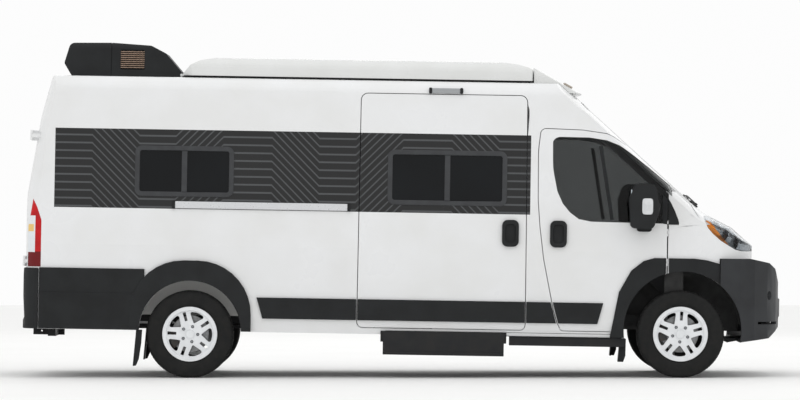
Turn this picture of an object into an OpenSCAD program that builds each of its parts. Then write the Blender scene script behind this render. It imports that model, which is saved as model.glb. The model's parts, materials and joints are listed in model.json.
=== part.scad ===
/* [Chassis] */
// Distance between the axles
wheelbase = 4035; // [3800:5:4300]
// Front axle to the front of the bumper
front_overhang = 875; // [820:5:930]
// Rear axle to the back of the bumper
rear_overhang = 1377; // [1250:5:1500]
// Distance between the tyre middles of one axle
track = 1810; // [1780:2:1830]
// Nose-down slope of the body over its wheels, degrees
rake = 0.95; // [0:0.05:1.5]

/* [Wheels] */
// Tyre outside diameter
tyre_d = 720; // [690:2:740]
// Tyre width
tyre_w = 225; // [205:5:235]
// Rim flange diameter
rim_d = 452; // [430:2:470]
// Bolt circle of the wheel
bolt_circle = 130; // [118:1:140]
// Stub axle diameter in the hub
stub_d = 60; // [50:1:70]

/* [Body shell] */
// Body width at the waist
body_w = 2050; // [2010:5:2090]
// How far each side leans in from the waist to the roof
lean_in = 70; // [50:1:85]
// Roof height at the middle
roof_z = 2457; // [2420:1:2500]
// Bottom of the sills
sill_z = 357; // [340:1:375]
// Waist line where the sides begin to lean in
waist_z = 1057; // [1020:1:1090]
// Top of the load floor above the sills
floor_up = 183; // [170:1:200]
// Thickness of doors and walls
wall = 60; // [50:1:70]
// Thickness of the hood and wings
skin_t = 26; // [20:1:30]
// Gap round the doors and lids
shut_gap = 6; // [5:0.5:8]
// Thickness of the glass
glass_t = 6; // [4:0.5:8]

/* [Doors] */
// Sliding door length
slide_l = 1392; // [1300:2:1450]
// Corner post outside each rear door
corner_post = 95; // [85:1:115]
// Gap between the two rear doors
rear_split = 12; // [12:0.5:16]
// Lean of the rear hinge line, degrees
rear_hinge_lean = 2.3; // [1.5:0.1:3]

/* [Windows] */
// Rear side window length
rear_window_l = 814; // [700:2:840]
// Rear side window height
rear_window_h = 418; // [380:2:440]
// Sliding door window length
slide_window_l = 983; // [900:2:1010]
// Sliding door window height
slide_window_h = 454; // [420:2:480]
// Frame border of the side windows
frame_w = 40; // [30:1:50]
// How far the window frames stand out
frame_out = 12; // [8:1:16]

/* [Roof] */
// Gap under the raising roof, filled by its seal
roof_seal_h = 20; // [16:1:24]
// Height of the raising roof
pop_h = 170; // [150:1:190]
// Width of the raising roof
pop_w = 1660; // [1600:5:1700]
// Thickness of the raising roof's shell
pop_t = 30; // [25:1:36]
// Width of the air conditioner
cooler_w = 690; // [640:5:740]
// Height of the air conditioner
cooler_h = 285; // [250:1:300]
// Slats in each side vent of the air conditioner
slat_count = 9; // [6:1:12]

/* [Trim] */
// How far the black cladding stands out
clad_t = 18; // [14:1:20]
// Clearance of the rear arch round the tyre
rear_arch_gap = 60; // [50:1:70]
// Clearance of the front arch round the tyre
front_arch_gap = 125; // [110:1:135]
// Width of the entry step
step_l = 995; // [900:5:1040]
// How far each mirror stands out from the door
mirror_reach = 225; // [200:1:240]
// Slats in the front grille
grille_slats = 5; // [3:1:7]

/* [Under the body] */
// Side of the square hitch tube's hole
hitch_bore = 51; // [50:0.5:52]
// Hitch pin hole diameter
hitch_pin_d = 16; // [15:0.5:17]
// Front strut lean towards the middle, degrees
strut_lean = 12; // [10:0.5:14]

/* [Hidden] */
$fn = 48;

length = wheelbase + front_overhang + rear_overhang;
axle_z = tyre_d / 2;
front_axle = length / 2 - front_overhang;
rear_axle_at = front_axle - wheelbase;
// the axles seen in the sloping body's own frame
fx = front_axle * cos(rake) - axle_z * sin(rake);
fz = front_axle * sin(rake) + axle_z * cos(rake);
rx = rear_axle_at * cos(rake) - axle_z * sin(rake);
rz = rear_axle_at * sin(rake) + axle_z * cos(rake);
half_w = body_w / 2;
half_roof = half_w - lean_in;
crown = 14;
shoulder_z = roof_z - crown;
floor_z = sill_z + floor_up;
floor_t = 60;
body_rear = -length / 2 + 9;
nose_x = length / 2 - 258;
far = 9000;
lean = atan(lean_in / (shoulder_z - waist_z));
wheel_y = track / 2;
rear_arch_r = axle_z + rear_arch_gap;
front_arch_r = axle_z + front_arch_gap;
front_arch = [fx + 16, fz + 30];
rear_arch = [rx, rz + 20];
rear_half = half_w - corner_post;

// heights are read on the body as drawn, then follow the sill, the waist and the shoulder
drawn = [357, 1057, 2443];
function up(z) = z > drawn[1]
  ? waist_z + (z - drawn[1]) * (shoulder_z - waist_z) / (drawn[2] - drawn[1])
  : sill_z + (z - drawn[0]) * (waist_z - sill_z) / (drawn[1] - drawn[0]);
// tables of outlines: [ahead of the front axle or of the rear face, height, corner radius]
function from_front(p) = [for (q = p) [fx + q[0], up(q[1]), q[2]]];
function from_back(p) = [for (q = p) [body_rear + q[0], up(q[1]), q[2]]];

slide_front = fx - 1275;
slide_rear = slide_front - slide_l;
slide_top = up(2341);
door_low = up(405);
door_front = fx - 114;
rear_low = floor_z + 20;
rear_top = up(2290);
header_z = up(2345);
visor_z = up(2300);
belt_z = up(1290);

door_outline = from_front([[-114, 405, 0], [-114, 1511, 60], [-143, 1562, 0], [-285, 1728, 0],
  [-404, 1837, 0], [-523, 1930, 0], [-642, 2008, 0], [-720, 2040, 60], [-907, 2066, 0],
  [-1197, 2075, 40], [-1191, 1482, 0], [-1173, 1262, 0], [-1139, 998, 0], [-1052, 574, 0],
  [-1020, 472, 0], [-985, 405, 30]]);
door_window = from_front([[-748, 1310, 90], [-160, 1303, 30], [-168, 1530, 20], [-298, 1655, 0],
  [-403, 1756, 0], [-522, 1857, 0], [-641, 1943, 0], [-730, 1981, 40], [-862, 2002, 0],
  [-1110, 2004, 45], [-1071, 1747, 0], [-1031, 1555, 0], [-985, 1455, 0], [-925, 1383, 0],
  [-851, 1329, 0]]);
slide_outline = [[slide_rear, door_low, 50], [slide_front, door_low, 50],
  [slide_front - 8, slide_top, 60], [slide_rear + 8, slide_top, 60]];
rear_window_x = rx - 66;
rear_window_z = up(1669);
slide_window_x = (slide_front + slide_rear) / 2 + 34;
slide_window_z = up(1650);
lamp_outline = from_front([[179, 1373, 0], [185, 1332, 0], [211, 1275, 0], [252, 1227, 0],
  [319, 1170, 0], [386, 1130, 0], [444, 1098, 0], [502, 1085, 0], [640, 1085, 0], [640, 1380, 0]]);
tail_outline = from_back([[-60, 866, 0], [129, 866, 0], [129, 1250, 60], [92, 1356, 0],
  [58, 1421, 0], [8, 1462, 0], [-60, 1500, 0]]);

// lines of the windshield and of the hood on the middle plane: [at, slope]
glass_line = [[fx - 143, up(1709)], 41.4];
header_line = [[fx - 740, up(2228)], 48];
hood_line = [[fx + 198, up(1404)], 26.4];
brow_line = [[fx + 452, up(1278)], 41];
cap_line = [[fx - 911, up(2419)], 28.4];
// how far the ends fall back towards the sides: [share of the half width, back]
front_bow = [[0, 0], [0.39, 8], [0.683, 32], [0.839, 62], [0.927, 105], [0.976, 170], [1.005, 260]];
rear_bow = [[0, 0], [0.683, 6], [0.829, 20], [0.907, 48], [0.956, 90], [1.005, 175]];

cowl_x = fx + 128;
cowl_z = hood_line[0].y + (hood_line[0].x - cowl_x) * tan(hood_line[1]);
door_in = half_w - wall - 105;
pop_rear = rx - 108;
pop_front = fx - 1244;
pop_low = shoulder_z + roof_seal_h;

function unit(v) = v / norm(v);
function flat(p) = [for (q = p) [q.x, q.y]];
function inset(p, d) = [for (i = [0:len(p) - 1])
  let (a = p[(i + len(p) - 1) % len(p)], b = p[i], c = p[(i + 1) % len(p)],
    u = unit(b - a), v = unit(c - b), m = [-u.y, u.x], n = [-v.y, v.x])
  b + d * (m + n) / (1 + m * n)];
function rounded(p, n = 5) = [for (i = [0:len(p) - 1])
  let (b = [p[i].x, p[i].y], q = p[(i + len(p) - 1) % len(p)], s = p[(i + 1) % len(p)],
    u = unit([q.x, q.y] - b), v = unit([s.x, s.y] - b), r = p[i][2], h = acos(u * v) / 2)
  each r == 0 ? [b] :
    let (c = b + unit(u + v) * r / sin(h), e = b + u * r / tan(h) - c, f = b + v * r / tan(h) - c,
      g = atan2(e.y, e.x), w = (atan2(f.y, f.x) - g + 540) % 360 - 180)
    [for (k = [0:n]) c + r * [cos(g + w * k / n), sin(g + w * k / n)]]];
function box_points(x0, x1, z0, z1, r) = rounded([[x0, z0, r], [x1, z0, r], [x1, z1, r], [x0, z1, r]]);
// an inner outline has no bottom
function open_below(p, d) = [for (q = inset(p, d)) d > 0 && q.y < sill_z + 100 ? [q.x, 0] : q];

section = rounded([[-half_w + 15, sill_z, 0], [half_w - 15, sill_z, 0], [half_w, sill_z + 123, 0],
  [half_w, waist_z, 0], [half_roof, shoulder_z, 110], [0, roof_z, 0], [-half_roof, shoulder_z, 110],
  [-half_w, waist_z, 0], [-half_w, sill_z + 123, 0]]);
side_view = rounded([[body_rear + 25, sill_z, 0], [far, sill_z, 0], [far, roof_z, 0],
  [body_rear + 175, roof_z, 110], [body_rear + 142, up(2318), 0], [body_rear + 65, up(1988), 0],
  [body_rear + 13, up(1640), 0], [body_rear, up(1420), 0], [body_rear, up(860), 0]]);
plan = rounded([[body_rear, -half_w, 120], [far, -half_w, 0], [far, half_w, 0], [body_rear, half_w, 120]]);
// plan of one side of the nose: [ahead of the front axle, in from the half width]
nose_side = [[-600, 0], [150, 0], [330, 20], [420, 60], [500, 135], [555, 240], [600, 420]];
nose_plan = concat([for (q = nose_side) [fx + q.x, -half_w + q.y]], [[nose_x, 0]],
  [for (i = [len(nose_side) - 1:-1:0]) [fx + nose_side[i].x, half_w - nose_side[i].y]]);

module body_frame() rotate([0, rake, 0]) children();
module both() {
  children();
  mirror([0, 1, 0]) children();
}
module along_y(p, y0, y1) translate([0, y1, 0]) rotate([90, 0, 0]) linear_extrude(y1 - y0) polygon(p);
module along_x(p, x0, x1) translate([x0, 0, 0]) rotate([90, 0, 90]) linear_extrude(x1 - x0) polygon(p);
module along_z(p, z0, z1) translate([0, 0, z0]) linear_extrude(z1 - z0) polygon(p);
module block(x0, x1, y0, y1, z0, z1) translate([x0, y0, z0]) cube([x1 - x0, y1 - y0, z1 - z0]);
module rod_x(y, z, r, x0, x1) translate([x0, y, z]) rotate([0, 90, 0]) cylinder(r = r, h = x1 - x0);
module rod_y(x, z, r, y0, y1) translate([x, y1, z]) rotate([90, 0, 0]) cylinder(r = r, h = y1 - y0);

// everything behind a bowed face that slopes down to the front
module behind(line, bow, d) {
  top = [for (q = bow) [q.x * half_w, -q.y * sin(line[1]) - d]];
  edge = top[len(top) - 1].x;
  translate([line[0].x, 0, line[0].y]) rotate([0, line[1], 0])
    along_x(concat([[-edge, -far], [edge, -far]], [for (i = [len(top) - 1:-1:0]) top[i]],
      [for (i = [1:len(top) - 1]) [-top[i].x, top[i].y]]), -far, far);
}
module ahead_of(line, bow, d) translate([line[0].x, 0, 0]) mirror([1, 0, 0])
  behind([[0, line[0].y], line[1]], bow, d);

module cab_solid(d) intersection() {
  along_x(open_below(section, d), -far / 2, far / 2);
  along_y(open_below(side_view, d), -half_w - 90, half_w + 90);
  along_z(inset(plan, d), 0, far / 3);
  behind(glass_line, front_bow, d);
  behind(header_line, front_bow, d);
  behind(cap_line, front_bow, d);
  ahead_of([[body_rear + 40, up(1820)], 80.8], rear_bow, d);
  ahead_of([[body_rear + 110, up(2190)], 75], rear_bow, d);
}
module nose_solid(d) intersection() {
  along_x(open_below(section, d), -far / 2, far / 2);
  along_z(inset(nose_plan, d), 0, far / 3);
  behind(hood_line, front_bow, d);
  behind(brow_line, front_bow, d);
}
module cab_shell(a, b) difference() {
  cab_solid(a);
  cab_solid(b);
}
module nose_shell(a, b) difference() {
  nose_solid(a);
  nose_solid(b);
}
// a flat piece lying on the leaning upper wall of the right side
module on_wall() translate([0, -half_w, waist_z]) rotate([-lean, 0, 0]) children();

windshield_outline = rounded([[-0.81 * half_w, up(1478), 60], [0.81 * half_w, up(1478), 60],
  [0.756 * half_w, up(2296), 90], [-0.756 * half_w, up(2296), 90]]);
cab_limit = [[body_rear - 90, sill_z - 9], [door_front + 4, sill_z - 9], [door_front + 4, belt_z],
  [fx - 22, belt_z], [fx + 91, up(1424)], [fx + 138, up(1478)], [fx + 138, visor_z], [fx - 917, visor_z],
  [fx - 917, header_z], [body_rear + 330, header_z], [body_rear + 330, rear_top], [body_rear - 90, rear_top]];
nose_limit = [[door_front + 4, sill_z - 9], [nose_x + 90, sill_z - 9], [nose_x + 90, up(1600)],
  [fx + 158, up(1600)], [fx + 138, up(1478)], [fx + 91, up(1424)], [fx - 22, belt_z], [door_front + 4, belt_z]];

module arch_hole(at, r, y) rod_y(at.x, at.y, r, -half_w - 90, -y);
module side_window(x, z, l, h, grow, y0, y1) {
  mid = z - waist_z;
  on_wall() along_y(box_points(x - l / 2 - grow, x + l / 2 + grow, mid - h / 2 - grow, mid + h / 2 + grow,
    58 + grow), y0, y1);
}
module rear_side_window(grow, y0, y1)
  side_window(rear_window_x, rear_window_z, rear_window_l, rear_window_h, grow, y0, y1);
module slide_window(grow, y0, y1)
  side_window(slide_window_x, slide_window_z, slide_window_l, slide_window_h, grow, y0, y1);
pane_lap = 4;

// hinge lines: a pin and a middle barrel on the body, two barrels on the door
pin_play = 0.08;
module hinge_pin(r, barrel, h) {
  translate([0, 0, -h / 2]) cylinder(r = r, h = h);
  translate([0, 0, -h / 6]) cylinder(r = barrel, h = h / 3);
}
module hinge_barrels(r, barrel, h) difference() {
  for (z = [-h / 2, h / 6 + 1]) translate([0, 0, z]) cylinder(r = barrel, h = h / 3 - 1);
  translate([0, 0, -h]) cylinder(r = r + pin_play, h = 2 * h);
}
door_hinge_z = [up(985), up(1230)];
door_hinge = [door_front - 3, -half_w + 6, door_hinge_z[0]];
door_hinge_lean = atan((door_hinge_z[1] - waist_z) * tan(lean) / (door_hinge_z[1] - door_hinge_z[0]));
door_hinge_h = 60;
door_hinge_r = 4.5;
door_pin_r = 2.6;
rear_hinge = [body_rear - 13, -rear_half - 28, up(900)];
// [height, depth of the door's leaf, depth of the body's leaf]
rear_hinges = [[up(912), 44, 50], [up(1950), 96, 120]];
// the side of the rear opening leans in with the wall
module rear_opening(d, y1, z0, z1) along_x([[-rear_half + d, z0], [y1, z0], [y1, z1],
  [-rear_half + d + (z1 - waist_z) * tan(lean), z1], [-rear_half + d, waist_z]], body_rear - 90, body_rear + 400);
lamp_in = rear_half + 38;
rear_hinge_h = 84;
rear_hinge_r = 11;
rear_pin_r = 6;
module at_door_hinges() translate(door_hinge) rotate([-door_hinge_lean, 0, 0])
  for (z = door_hinge_z) translate([0, 0, z - door_hinge.z]) children();
module at_rear_hinge(h) translate(rear_hinge) rotate([-lean, rear_hinge_lean, 0])
  translate([0, 0, h[0] - rear_hinge.z]) children();

module side_wall(sliding) {
  difference() {
    intersection() {
      cab_shell(0, wall);
      along_y(cab_limit, -half_w - 50, 0);
    }
    along_y(rounded(door_outline), -half_w - 60, -door_in);
    rear_opening(0, 10, sill_z - 20, far);
    along_x(windshield_outline, fx - 1100, fx + 300);
    along_y(rounded(tail_outline), -half_w - 60, -lamp_in);
    arch_hole(rear_arch, rear_arch_r, 400);
    arch_hole(front_arch, front_arch_r, 400);
    rear_side_window(pane_lap - frame_w, -90, 200);
    at_door_hinges() block(-9, 12, -9, 15, -door_hinge_h / 2 - 6, door_hinge_h / 2 + 6);
    if (sliding) along_y(rounded(slide_outline), -half_w - 60, -door_in);
    else slide_window(pane_lap - frame_w, -90, 200);
  }
  for (h = rear_hinges) at_rear_hinge(h) {
    hinge_pin(rear_pin_r, rear_hinge_r, rear_hinge_h);
    block(0, h[2], -8, 8, -rear_hinge_h / 6, rear_hinge_h / 6);
  }
}
module side_right() color("white") body_frame() side_wall(true);
module side_left() color("white") body_frame() mirror([0, 1, 0]) side_wall(false);

house_t = 10;
house_in = 680;
front_house_in = 590;
module floor() color("dimgray") body_frame() {
  difference() {
    intersection() {
      cab_solid(wall);
      block(body_rear, door_front + 4, -half_w, half_w, floor_z - floor_t, floor_z);
    }
    both() block(rx - rear_arch_r - house_t, rx + rear_arch_r + house_t, -half_w, -house_in, 0, floor_z + 9);
    both() rod_y(front_arch.x, front_arch.y, front_arch_r + house_t, -half_w, -front_house_in);
  }
  intersection() {
    cab_shell(0, wall);
    block(body_rear - 90, body_rear + 300, -rear_half, rear_half, sill_z, rear_low - shut_gap);
  }
}

pop_hinge = [pop_rear - 10, pop_low + 6];
pop_hinge_y = 600;
pop_pin_r = 6;
module roof() color("white") body_frame() {
  difference() {
    intersection() {
      cab_shell(0, wall / 2);
      along_y([[body_rear - 90, rear_top], [body_rear + 330, rear_top], [body_rear + 330, header_z],
        [fx - 917, header_z], [fx - 917, visor_z], [fx - 500, visor_z], [fx - 500, roof_z + 90],
        [body_rear - 90, roof_z + 90]], -half_w, half_w);
    }
    block(pop_rear + 420, pop_front - 700, -560, 560, roof_z - 200, roof_z + 90);
    along_x(windshield_outline, fx - 1100, fx + 300);
  }
  both() {
    rod_y(pop_hinge.x, pop_hinge.y, pop_pin_r, -pop_hinge_y - 30, -pop_hinge_y + 30);
    block(pop_hinge.x - 8, pop_hinge.x + 8, -pop_hinge_y - 8, -pop_hinge_y + 8, shoulder_z - 10, pop_hinge.y + 9);
  }
}
module roof_seal() color("black") body_frame() difference() {
  block(pop_rear + 16, pop_front - 16, -pop_w / 2 + 16, pop_w / 2 - 16, roof_z - 60, pop_low);
  block(pop_rear + 90, pop_front - 90, -pop_w / 2 + 90, pop_w / 2 - 90, 0, far);
  along_x(section, -far, far);
}
pop_plan = rounded([[pop_rear, -pop_w / 2, 140], [pop_front, -pop_w / 2, 40],
  [pop_front, pop_w / 2, 40], [pop_rear, pop_w / 2, 140]]);
// outline of the raising roof: [from its end, share of its height]
pop_front_end = [[0, 0.54], [-34, 0.65], [-116, 0.79], [-199, 0.85], [-363, 0.92], [-770, 1]];
pop_rear_end = [[1220, 1], [280, 0.88], [155, 0.76], [72, 0.53], [14, 0.13]];
pop_profile = concat([[pop_rear, pop_low], [pop_front, pop_low]],
  [for (q = pop_front_end) [pop_front + q.x, pop_low + q.y * pop_h]],
  [for (q = pop_rear_end) [pop_rear + q.x, pop_low + q.y * pop_h]]);
pop_section = rounded([[-pop_w / 2, pop_low - 90, 0], [pop_w / 2, pop_low - 90, 0],
  [pop_w / 2 - 25, pop_low + pop_h - 20, 90], [0, pop_low + pop_h, 0],
  [-pop_w / 2 + 25, pop_low + pop_h - 20, 90]]);
pop_hollow = [[pop_rear + 110, pop_low - 50], [pop_front - 50, pop_low - 50], [pop_front - 50, pop_low + 70],
  [pop_front - 360, pop_low + pop_h - pop_t - 20], [pop_rear + 330, pop_low + pop_h - pop_t - 20],
  [pop_rear + 110, pop_low + 50]];
module pop_top() color("white") body_frame() {
  difference() {
    intersection() {
      along_y(pop_profile, -pop_w, pop_w);
      along_x(pop_section, -far / 2, far / 2);
      along_z(pop_plan, pop_low - 70, far);
    }
    along_y(pop_hollow, -pop_w / 2 + 75, pop_w / 2 - 75);
  }
  both() for (y = [-pop_hinge_y - 27, -pop_hinge_y + 13]) difference() {
    union() {
      rod_y(pop_hinge.x, pop_hinge.y, pop_pin_r + 4, y, y + 14);
      block(pop_hinge.x, pop_hinge.x + 40, y, y + 14, pop_hinge.y - 6, pop_hinge.y + 8);
    }
    rod_y(pop_hinge.x, pop_hinge.y, pop_pin_r + pin_play, y - 9, y + 29);
  }
}
cap_w = pop_w - 60;
module cap_solid() intersection() {
  along_y([[pop_front + 10, roof_z - 90], [fx - 700, roof_z - 90], [fx - 1166, roof_z + 100],
    [pop_front + 10, pop_low + 0.66 * pop_h]], -half_w, half_w);
  behind(cap_line, front_bow, 0);
  along_x(rounded([[-cap_w / 2, roof_z - 150, 0], [cap_w / 2, roof_z - 150, 0],
    [cap_w / 2 - 20, pop_low + pop_h - 50, 90], [-cap_w / 2 + 20, pop_low + pop_h - 50, 90]]), -far, far);
}
module roof_cap() color("white") body_frame() difference() {
  cap_solid();
  cab_solid(0);
}

// the hood lies between straight seams: [from the cowl or nose, half width]
hood_plan = [[cowl_x, -690], [fx + 440, -600], [nose_x + 9, -590], [nose_x + 9, 590], [fx + 440, 600], [cowl_x, 690]];
hood_low = up(1096);
hood_edge = 560;
hood_rear_gap = 20;
hood_hinge = [cowl_x + hood_rear_gap + 8, cowl_z - 34];
hood_hinge_y = 460;
hood_pin_r = 5;
module hood_region(d) along_z(inset(hood_plan, d), hood_low + d, far);
module front_end() color("white") body_frame() {
  difference() {
    intersection() {
      nose_shell(0, skin_t);
      along_y(nose_limit, -half_w - 90, half_w + 90);
    }
    hood_region(0);
    block(fx + 312, far, -half_w - 90, half_w + 90, 0, up(1024));
    both() arch_hole(front_arch, front_arch_r, 400);
    both() intersection() {
      along_y(flat(lamp_outline), -half_w - 90, -540);
      block(fx, far, -half_w - 90, -hood_edge, 0, far);
    }
  }
  // bulkhead behind the engine
  difference() {
    intersection() {
      nose_solid(skin_t);
      along_y(nose_limit, -half_w, half_w);
      block(door_front + 4, door_front + 24, -half_w, half_w, floor_z - floor_t, far);
    }
    both() rod_y(front_arch.x, front_arch.y, front_arch_r + house_t, -half_w, -front_house_in);
  }
  // door and hood hinge halves
  both() {
    at_door_hinges() {
      hinge_pin(door_pin_r, door_hinge_r, door_hinge_h);
      block(0, 16, -2.5, 2.5, -door_hinge_h / 6, door_hinge_h / 6);
    }
    rod_y(hood_hinge.x, hood_hinge.y, hood_pin_r, -hood_hinge_y - 34, -hood_hinge_y + 34);
    along_y([[cowl_x - 40, cowl_z - 5], [cowl_x - 40, cowl_z - 64], [hood_hinge.x + 7, cowl_z - 64],
      [hood_hinge.x + 7, hood_hinge.y + 4], [hood_hinge.x - 7, hood_hinge.y + 4], [hood_hinge.x - 7, cowl_z - 44],
      [cowl_x - 6, cowl_z - 44], [cowl_x - 6, cowl_z - 5]], -hood_hinge_y - 8, -hood_hinge_y + 8);
  }
}
module hood() color("white") body_frame() difference() {
  union() {
    difference() {
      intersection() {
        nose_shell(0, skin_t);
        hood_region(shut_gap);
      }
      block(cowl_x - 90, cowl_x + hood_rear_gap, -half_w, half_w, 0, far);
      both() block(cowl_x, hood_hinge.x + 12, -hood_hinge_y - 14, -hood_hinge_y + 14, 0, hood_hinge.y + 11);
    }
    both() for (y = [-hood_hinge_y - 32, -hood_hinge_y + 14])
      rod_y(hood_hinge.x, hood_hinge.y, hood_pin_r + 4, y, y + 18);
  }
  both() rod_y(hood_hinge.x, hood_hinge.y, hood_pin_r + pin_play, -hood_hinge_y - 60, -hood_hinge_y + 60);
}
module cowl() color("black") body_frame() difference() {
  along_y([[fx + 60, cowl_z - 10], [cowl_x - 4, cowl_z - 40], [cowl_x - 4, cowl_z + 14], [fx + 104, cowl_z + 48],
    [fx + 60, cowl_z + 48]], -720, 720);
  nose_solid(0);
  cab_solid(0);
}
module windshield() color("darkslategray") body_frame() intersection() {
  cab_shell(3, 3 + glass_t);
  along_x(windshield_outline, fx - 1100, fx + 300);
}

module sliding_door() color("white") body_frame() difference() {
  intersection() {
    cab_shell(0, wall);
    along_y(inset(rounded(slide_outline), shut_gap), -half_w - 60, -door_in);
  }
  slide_window(pane_lap - frame_w, -90, 200);
}
module front_door() {
  difference() {
    intersection() {
      cab_shell(0, wall);
      along_y(inset(rounded(door_outline), shut_gap), -half_w - 60, -door_in);
    }
    block(door_front - 10, fx, -half_w - 60, 0, 0, far);
    along_y(rounded(door_window), -half_w - 60, -door_in);
    arch_hole(front_arch, front_arch_r, 400);
  }
  at_door_hinges() {
    hinge_barrels(door_pin_r, door_hinge_r, door_hinge_h);
    for (z = [-door_hinge_h / 2, door_hinge_h / 6 + 1])
      block(-14, -door_pin_r - 1, -2.5, 2.5, z, z + door_hinge_h / 3 - 1);
  }
}
module front_glass() intersection() {
  cab_shell(3, 3 + glass_t);
  along_y(rounded(door_window), -half_w - 60, -door_in);
}
module door_right() color("white") body_frame() front_door();
module door_left() color("white") body_frame() mirror([0, 1, 0]) front_door();
module door_glass_right() color("black") body_frame() front_glass();
module door_glass_left() color("black") body_frame() mirror([0, 1, 0]) front_glass();

rear_window = rounded([[-rear_half + 110, up(1480), 70], [-95, up(1480), 70], [-95, up(2130), 70],
  [-rear_half + 135, up(2130), 70]]);
// each rear door has an outer lip that reaches nearer to the split than its inner part
lip_t = 20;
lip_w = 18;
module rear_door() {
  difference() {
    union() for (layer = [[0, lip_t, 0], [lip_t, wall, lip_w]]) intersection() {
      cab_shell(layer[0], layer[1]);
      rear_opening(shut_gap, -rear_split / 2 - layer[2], rear_low, rear_top - shut_gap);
    }
    along_x(rear_window, body_rear - 90, body_rear + 500);
  }
  for (h = rear_hinges) at_rear_hinge(h) {
    hinge_barrels(rear_pin_r, rear_hinge_r, rear_hinge_h);
    for (z = [-rear_hinge_h / 2, rear_hinge_h / 6 + 1]) {
      block(-4, 6, rear_pin_r + 2, 66, z, z + rear_hinge_h / 3 - 1);
      block(-4, h[1], 40, 66, z, z + rear_hinge_h / 3 - 1);
    }
  }
}
module rear_glass() intersection() {
  cab_shell(3, 3 + glass_t);
  along_x(rear_window, body_rear - 90, body_rear + 500);
}
module rear_door_right() color("white") body_frame() rear_door();
module rear_door_left() color("white") body_frame() mirror([0, 1, 0]) rear_door();
module rear_glass_right() color("black") body_frame() rear_glass();
module rear_glass_left() color("black") body_frame() mirror([0, 1, 0]) rear_glass();

module frame_ring(sliding) difference() {
  if (sliding) slide_window(0, -frame_out, 0);
  else rear_side_window(0, -frame_out, 0);
  if (sliding) slide_window(-frame_w, -frame_out - 9, 9);
  else rear_side_window(-frame_w, -frame_out - 9, 9);
}
module frame_bar(x, z, h) on_wall()
  block(x - 23, x + 23, -frame_out + 2, 0, z - waist_z - h / 2 + frame_w, z - waist_z + h / 2 - frame_w);
module window_frames() color("gray") body_frame() both() {
  frame_ring(false);
  frame_ring(true);
  frame_bar(rear_window_x, rear_window_z, rear_window_h);
  frame_bar(slide_window_x, slide_window_z, slide_window_h);
}
module window_panes() color("black") body_frame() both() {
  rear_side_window(pane_lap - frame_w, 0, glass_t);
  slide_window(pane_lap - frame_w, 0, glass_t);
}

// outline of the front bumper and how far it falls back: [across, back]
bumper_nose = fx + 868;
bumper_profile = flat(from_front([[514, 340, 0], [740, 372, 0], [800, 429, 0], [868, 488, 0],
  [868, 640, 0], [840, 800, 0], [790, 946, 0], [735, 992, 0], [580, 1024, 0], [320, 1024, 0], [320, 299, 0]]));
bumper_half = half_w + 15;
bumper_bow = [[0, 0], [bumper_half - 640, 18], [bumper_half - 340, 70], [bumper_half - 180, 150],
  [bumper_half - 80, 260], [bumper_half - 30, 380], [bumper_half, 560]];
function bumper_plan(d) = concat([for (i = [len(bumper_bow) - 1:-1:0])
    [bumper_nose - d - bumper_bow[i].y, -bumper_bow[i].x + (i == 0 ? 0 : d)]],
  [for (i = [1:len(bumper_bow) - 1]) [bumper_nose - d - bumper_bow[i].y, bumper_bow[i].x - d]],
  [[fx + 200, bumper_half - d], [fx + 200, -bumper_half + d]]);
module bumper_solid(d) intersection() {
  along_y(inset(bumper_profile, d), -half_w - 90, half_w + 90);
  along_z(bumper_plan(d), 0, far);
}
bumper_t = 40;
grille_half = 520;
grille_low = up(690);
grille_top = up(900);
intake_low = up(395);
intake_top = up(545);
slat_h = 14;
fog_r = 38;
module opening(y, z0, z1) along_x(box_points(-y, y, z0, z1, 40), bumper_nose - 230, bumper_nose + 90);
module bumper_shell() difference() {
  bumper_solid(0);
  bumper_solid(bumper_t);
  block(fx, fx + 420, -half_w + 60, half_w - 60, 0, far);
  both() arch_hole(front_arch, front_arch_r, 400);
  nose_solid(0);
}
module bumper_front() color("dimgray") body_frame() {
  difference() {
    bumper_shell();
    opening(grille_half, grille_low, grille_top);
    opening(grille_half - 40, intake_low, intake_top);
    both() rod_x(-0.8 * half_w, up(724), fog_r, bumper_nose - 260, bumper_nose);
    both() block(fx + 640, bumper_nose + 90, -0.93 * half_w, -0.62 * half_w, up(486), up(508));
  }
  // grille bars and the holders of the fog lamps
  for (k = [1:grille_slats]) {
    z = grille_low + (grille_top - grille_low) * k / (grille_slats + 1);
    block(bumper_nose - 100, bumper_nose - 72, -grille_half - 20, grille_half + 20, z - slat_h / 2, z + slat_h / 2);
  }
  block(bumper_nose - 110, bumper_nose - 72, -grille_half, grille_half, up(468), up(468) + slat_h);
  both() rod_x(-0.8 * half_w, up(724), fog_r + 4, bumper_nose - 196, bumper_nose - 178);
}
bumper_out = 21;
module bumper_rear() color("dimgray") body_frame() difference() {
  intersection() {
    along_z(inset(plan, -bumper_out), sill_z, up(857));
    along_y([[body_rear - 90, sill_z], [body_rear + 112, sill_z], [body_rear + 112, up(857)], [body_rear - 12, up(857)],
      [body_rear - 21, up(713)], [body_rear - 4, up(452)], [body_rear - 16, up(425)], [body_rear - 16, sill_z]],
      -half_w - 60, half_w + 60);
  }
  cab_solid(0);
  block(body_rear - 90, body_rear + 400, -rear_half - 2, rear_half + 2, rear_low - 18, far);
}

strip_low = up(469);
strip_top = up(642);
quarter_top = up(861);
quarter_crease = up(659);
clad_low = sill_z + 3;
rear_flare = 500;
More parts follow.
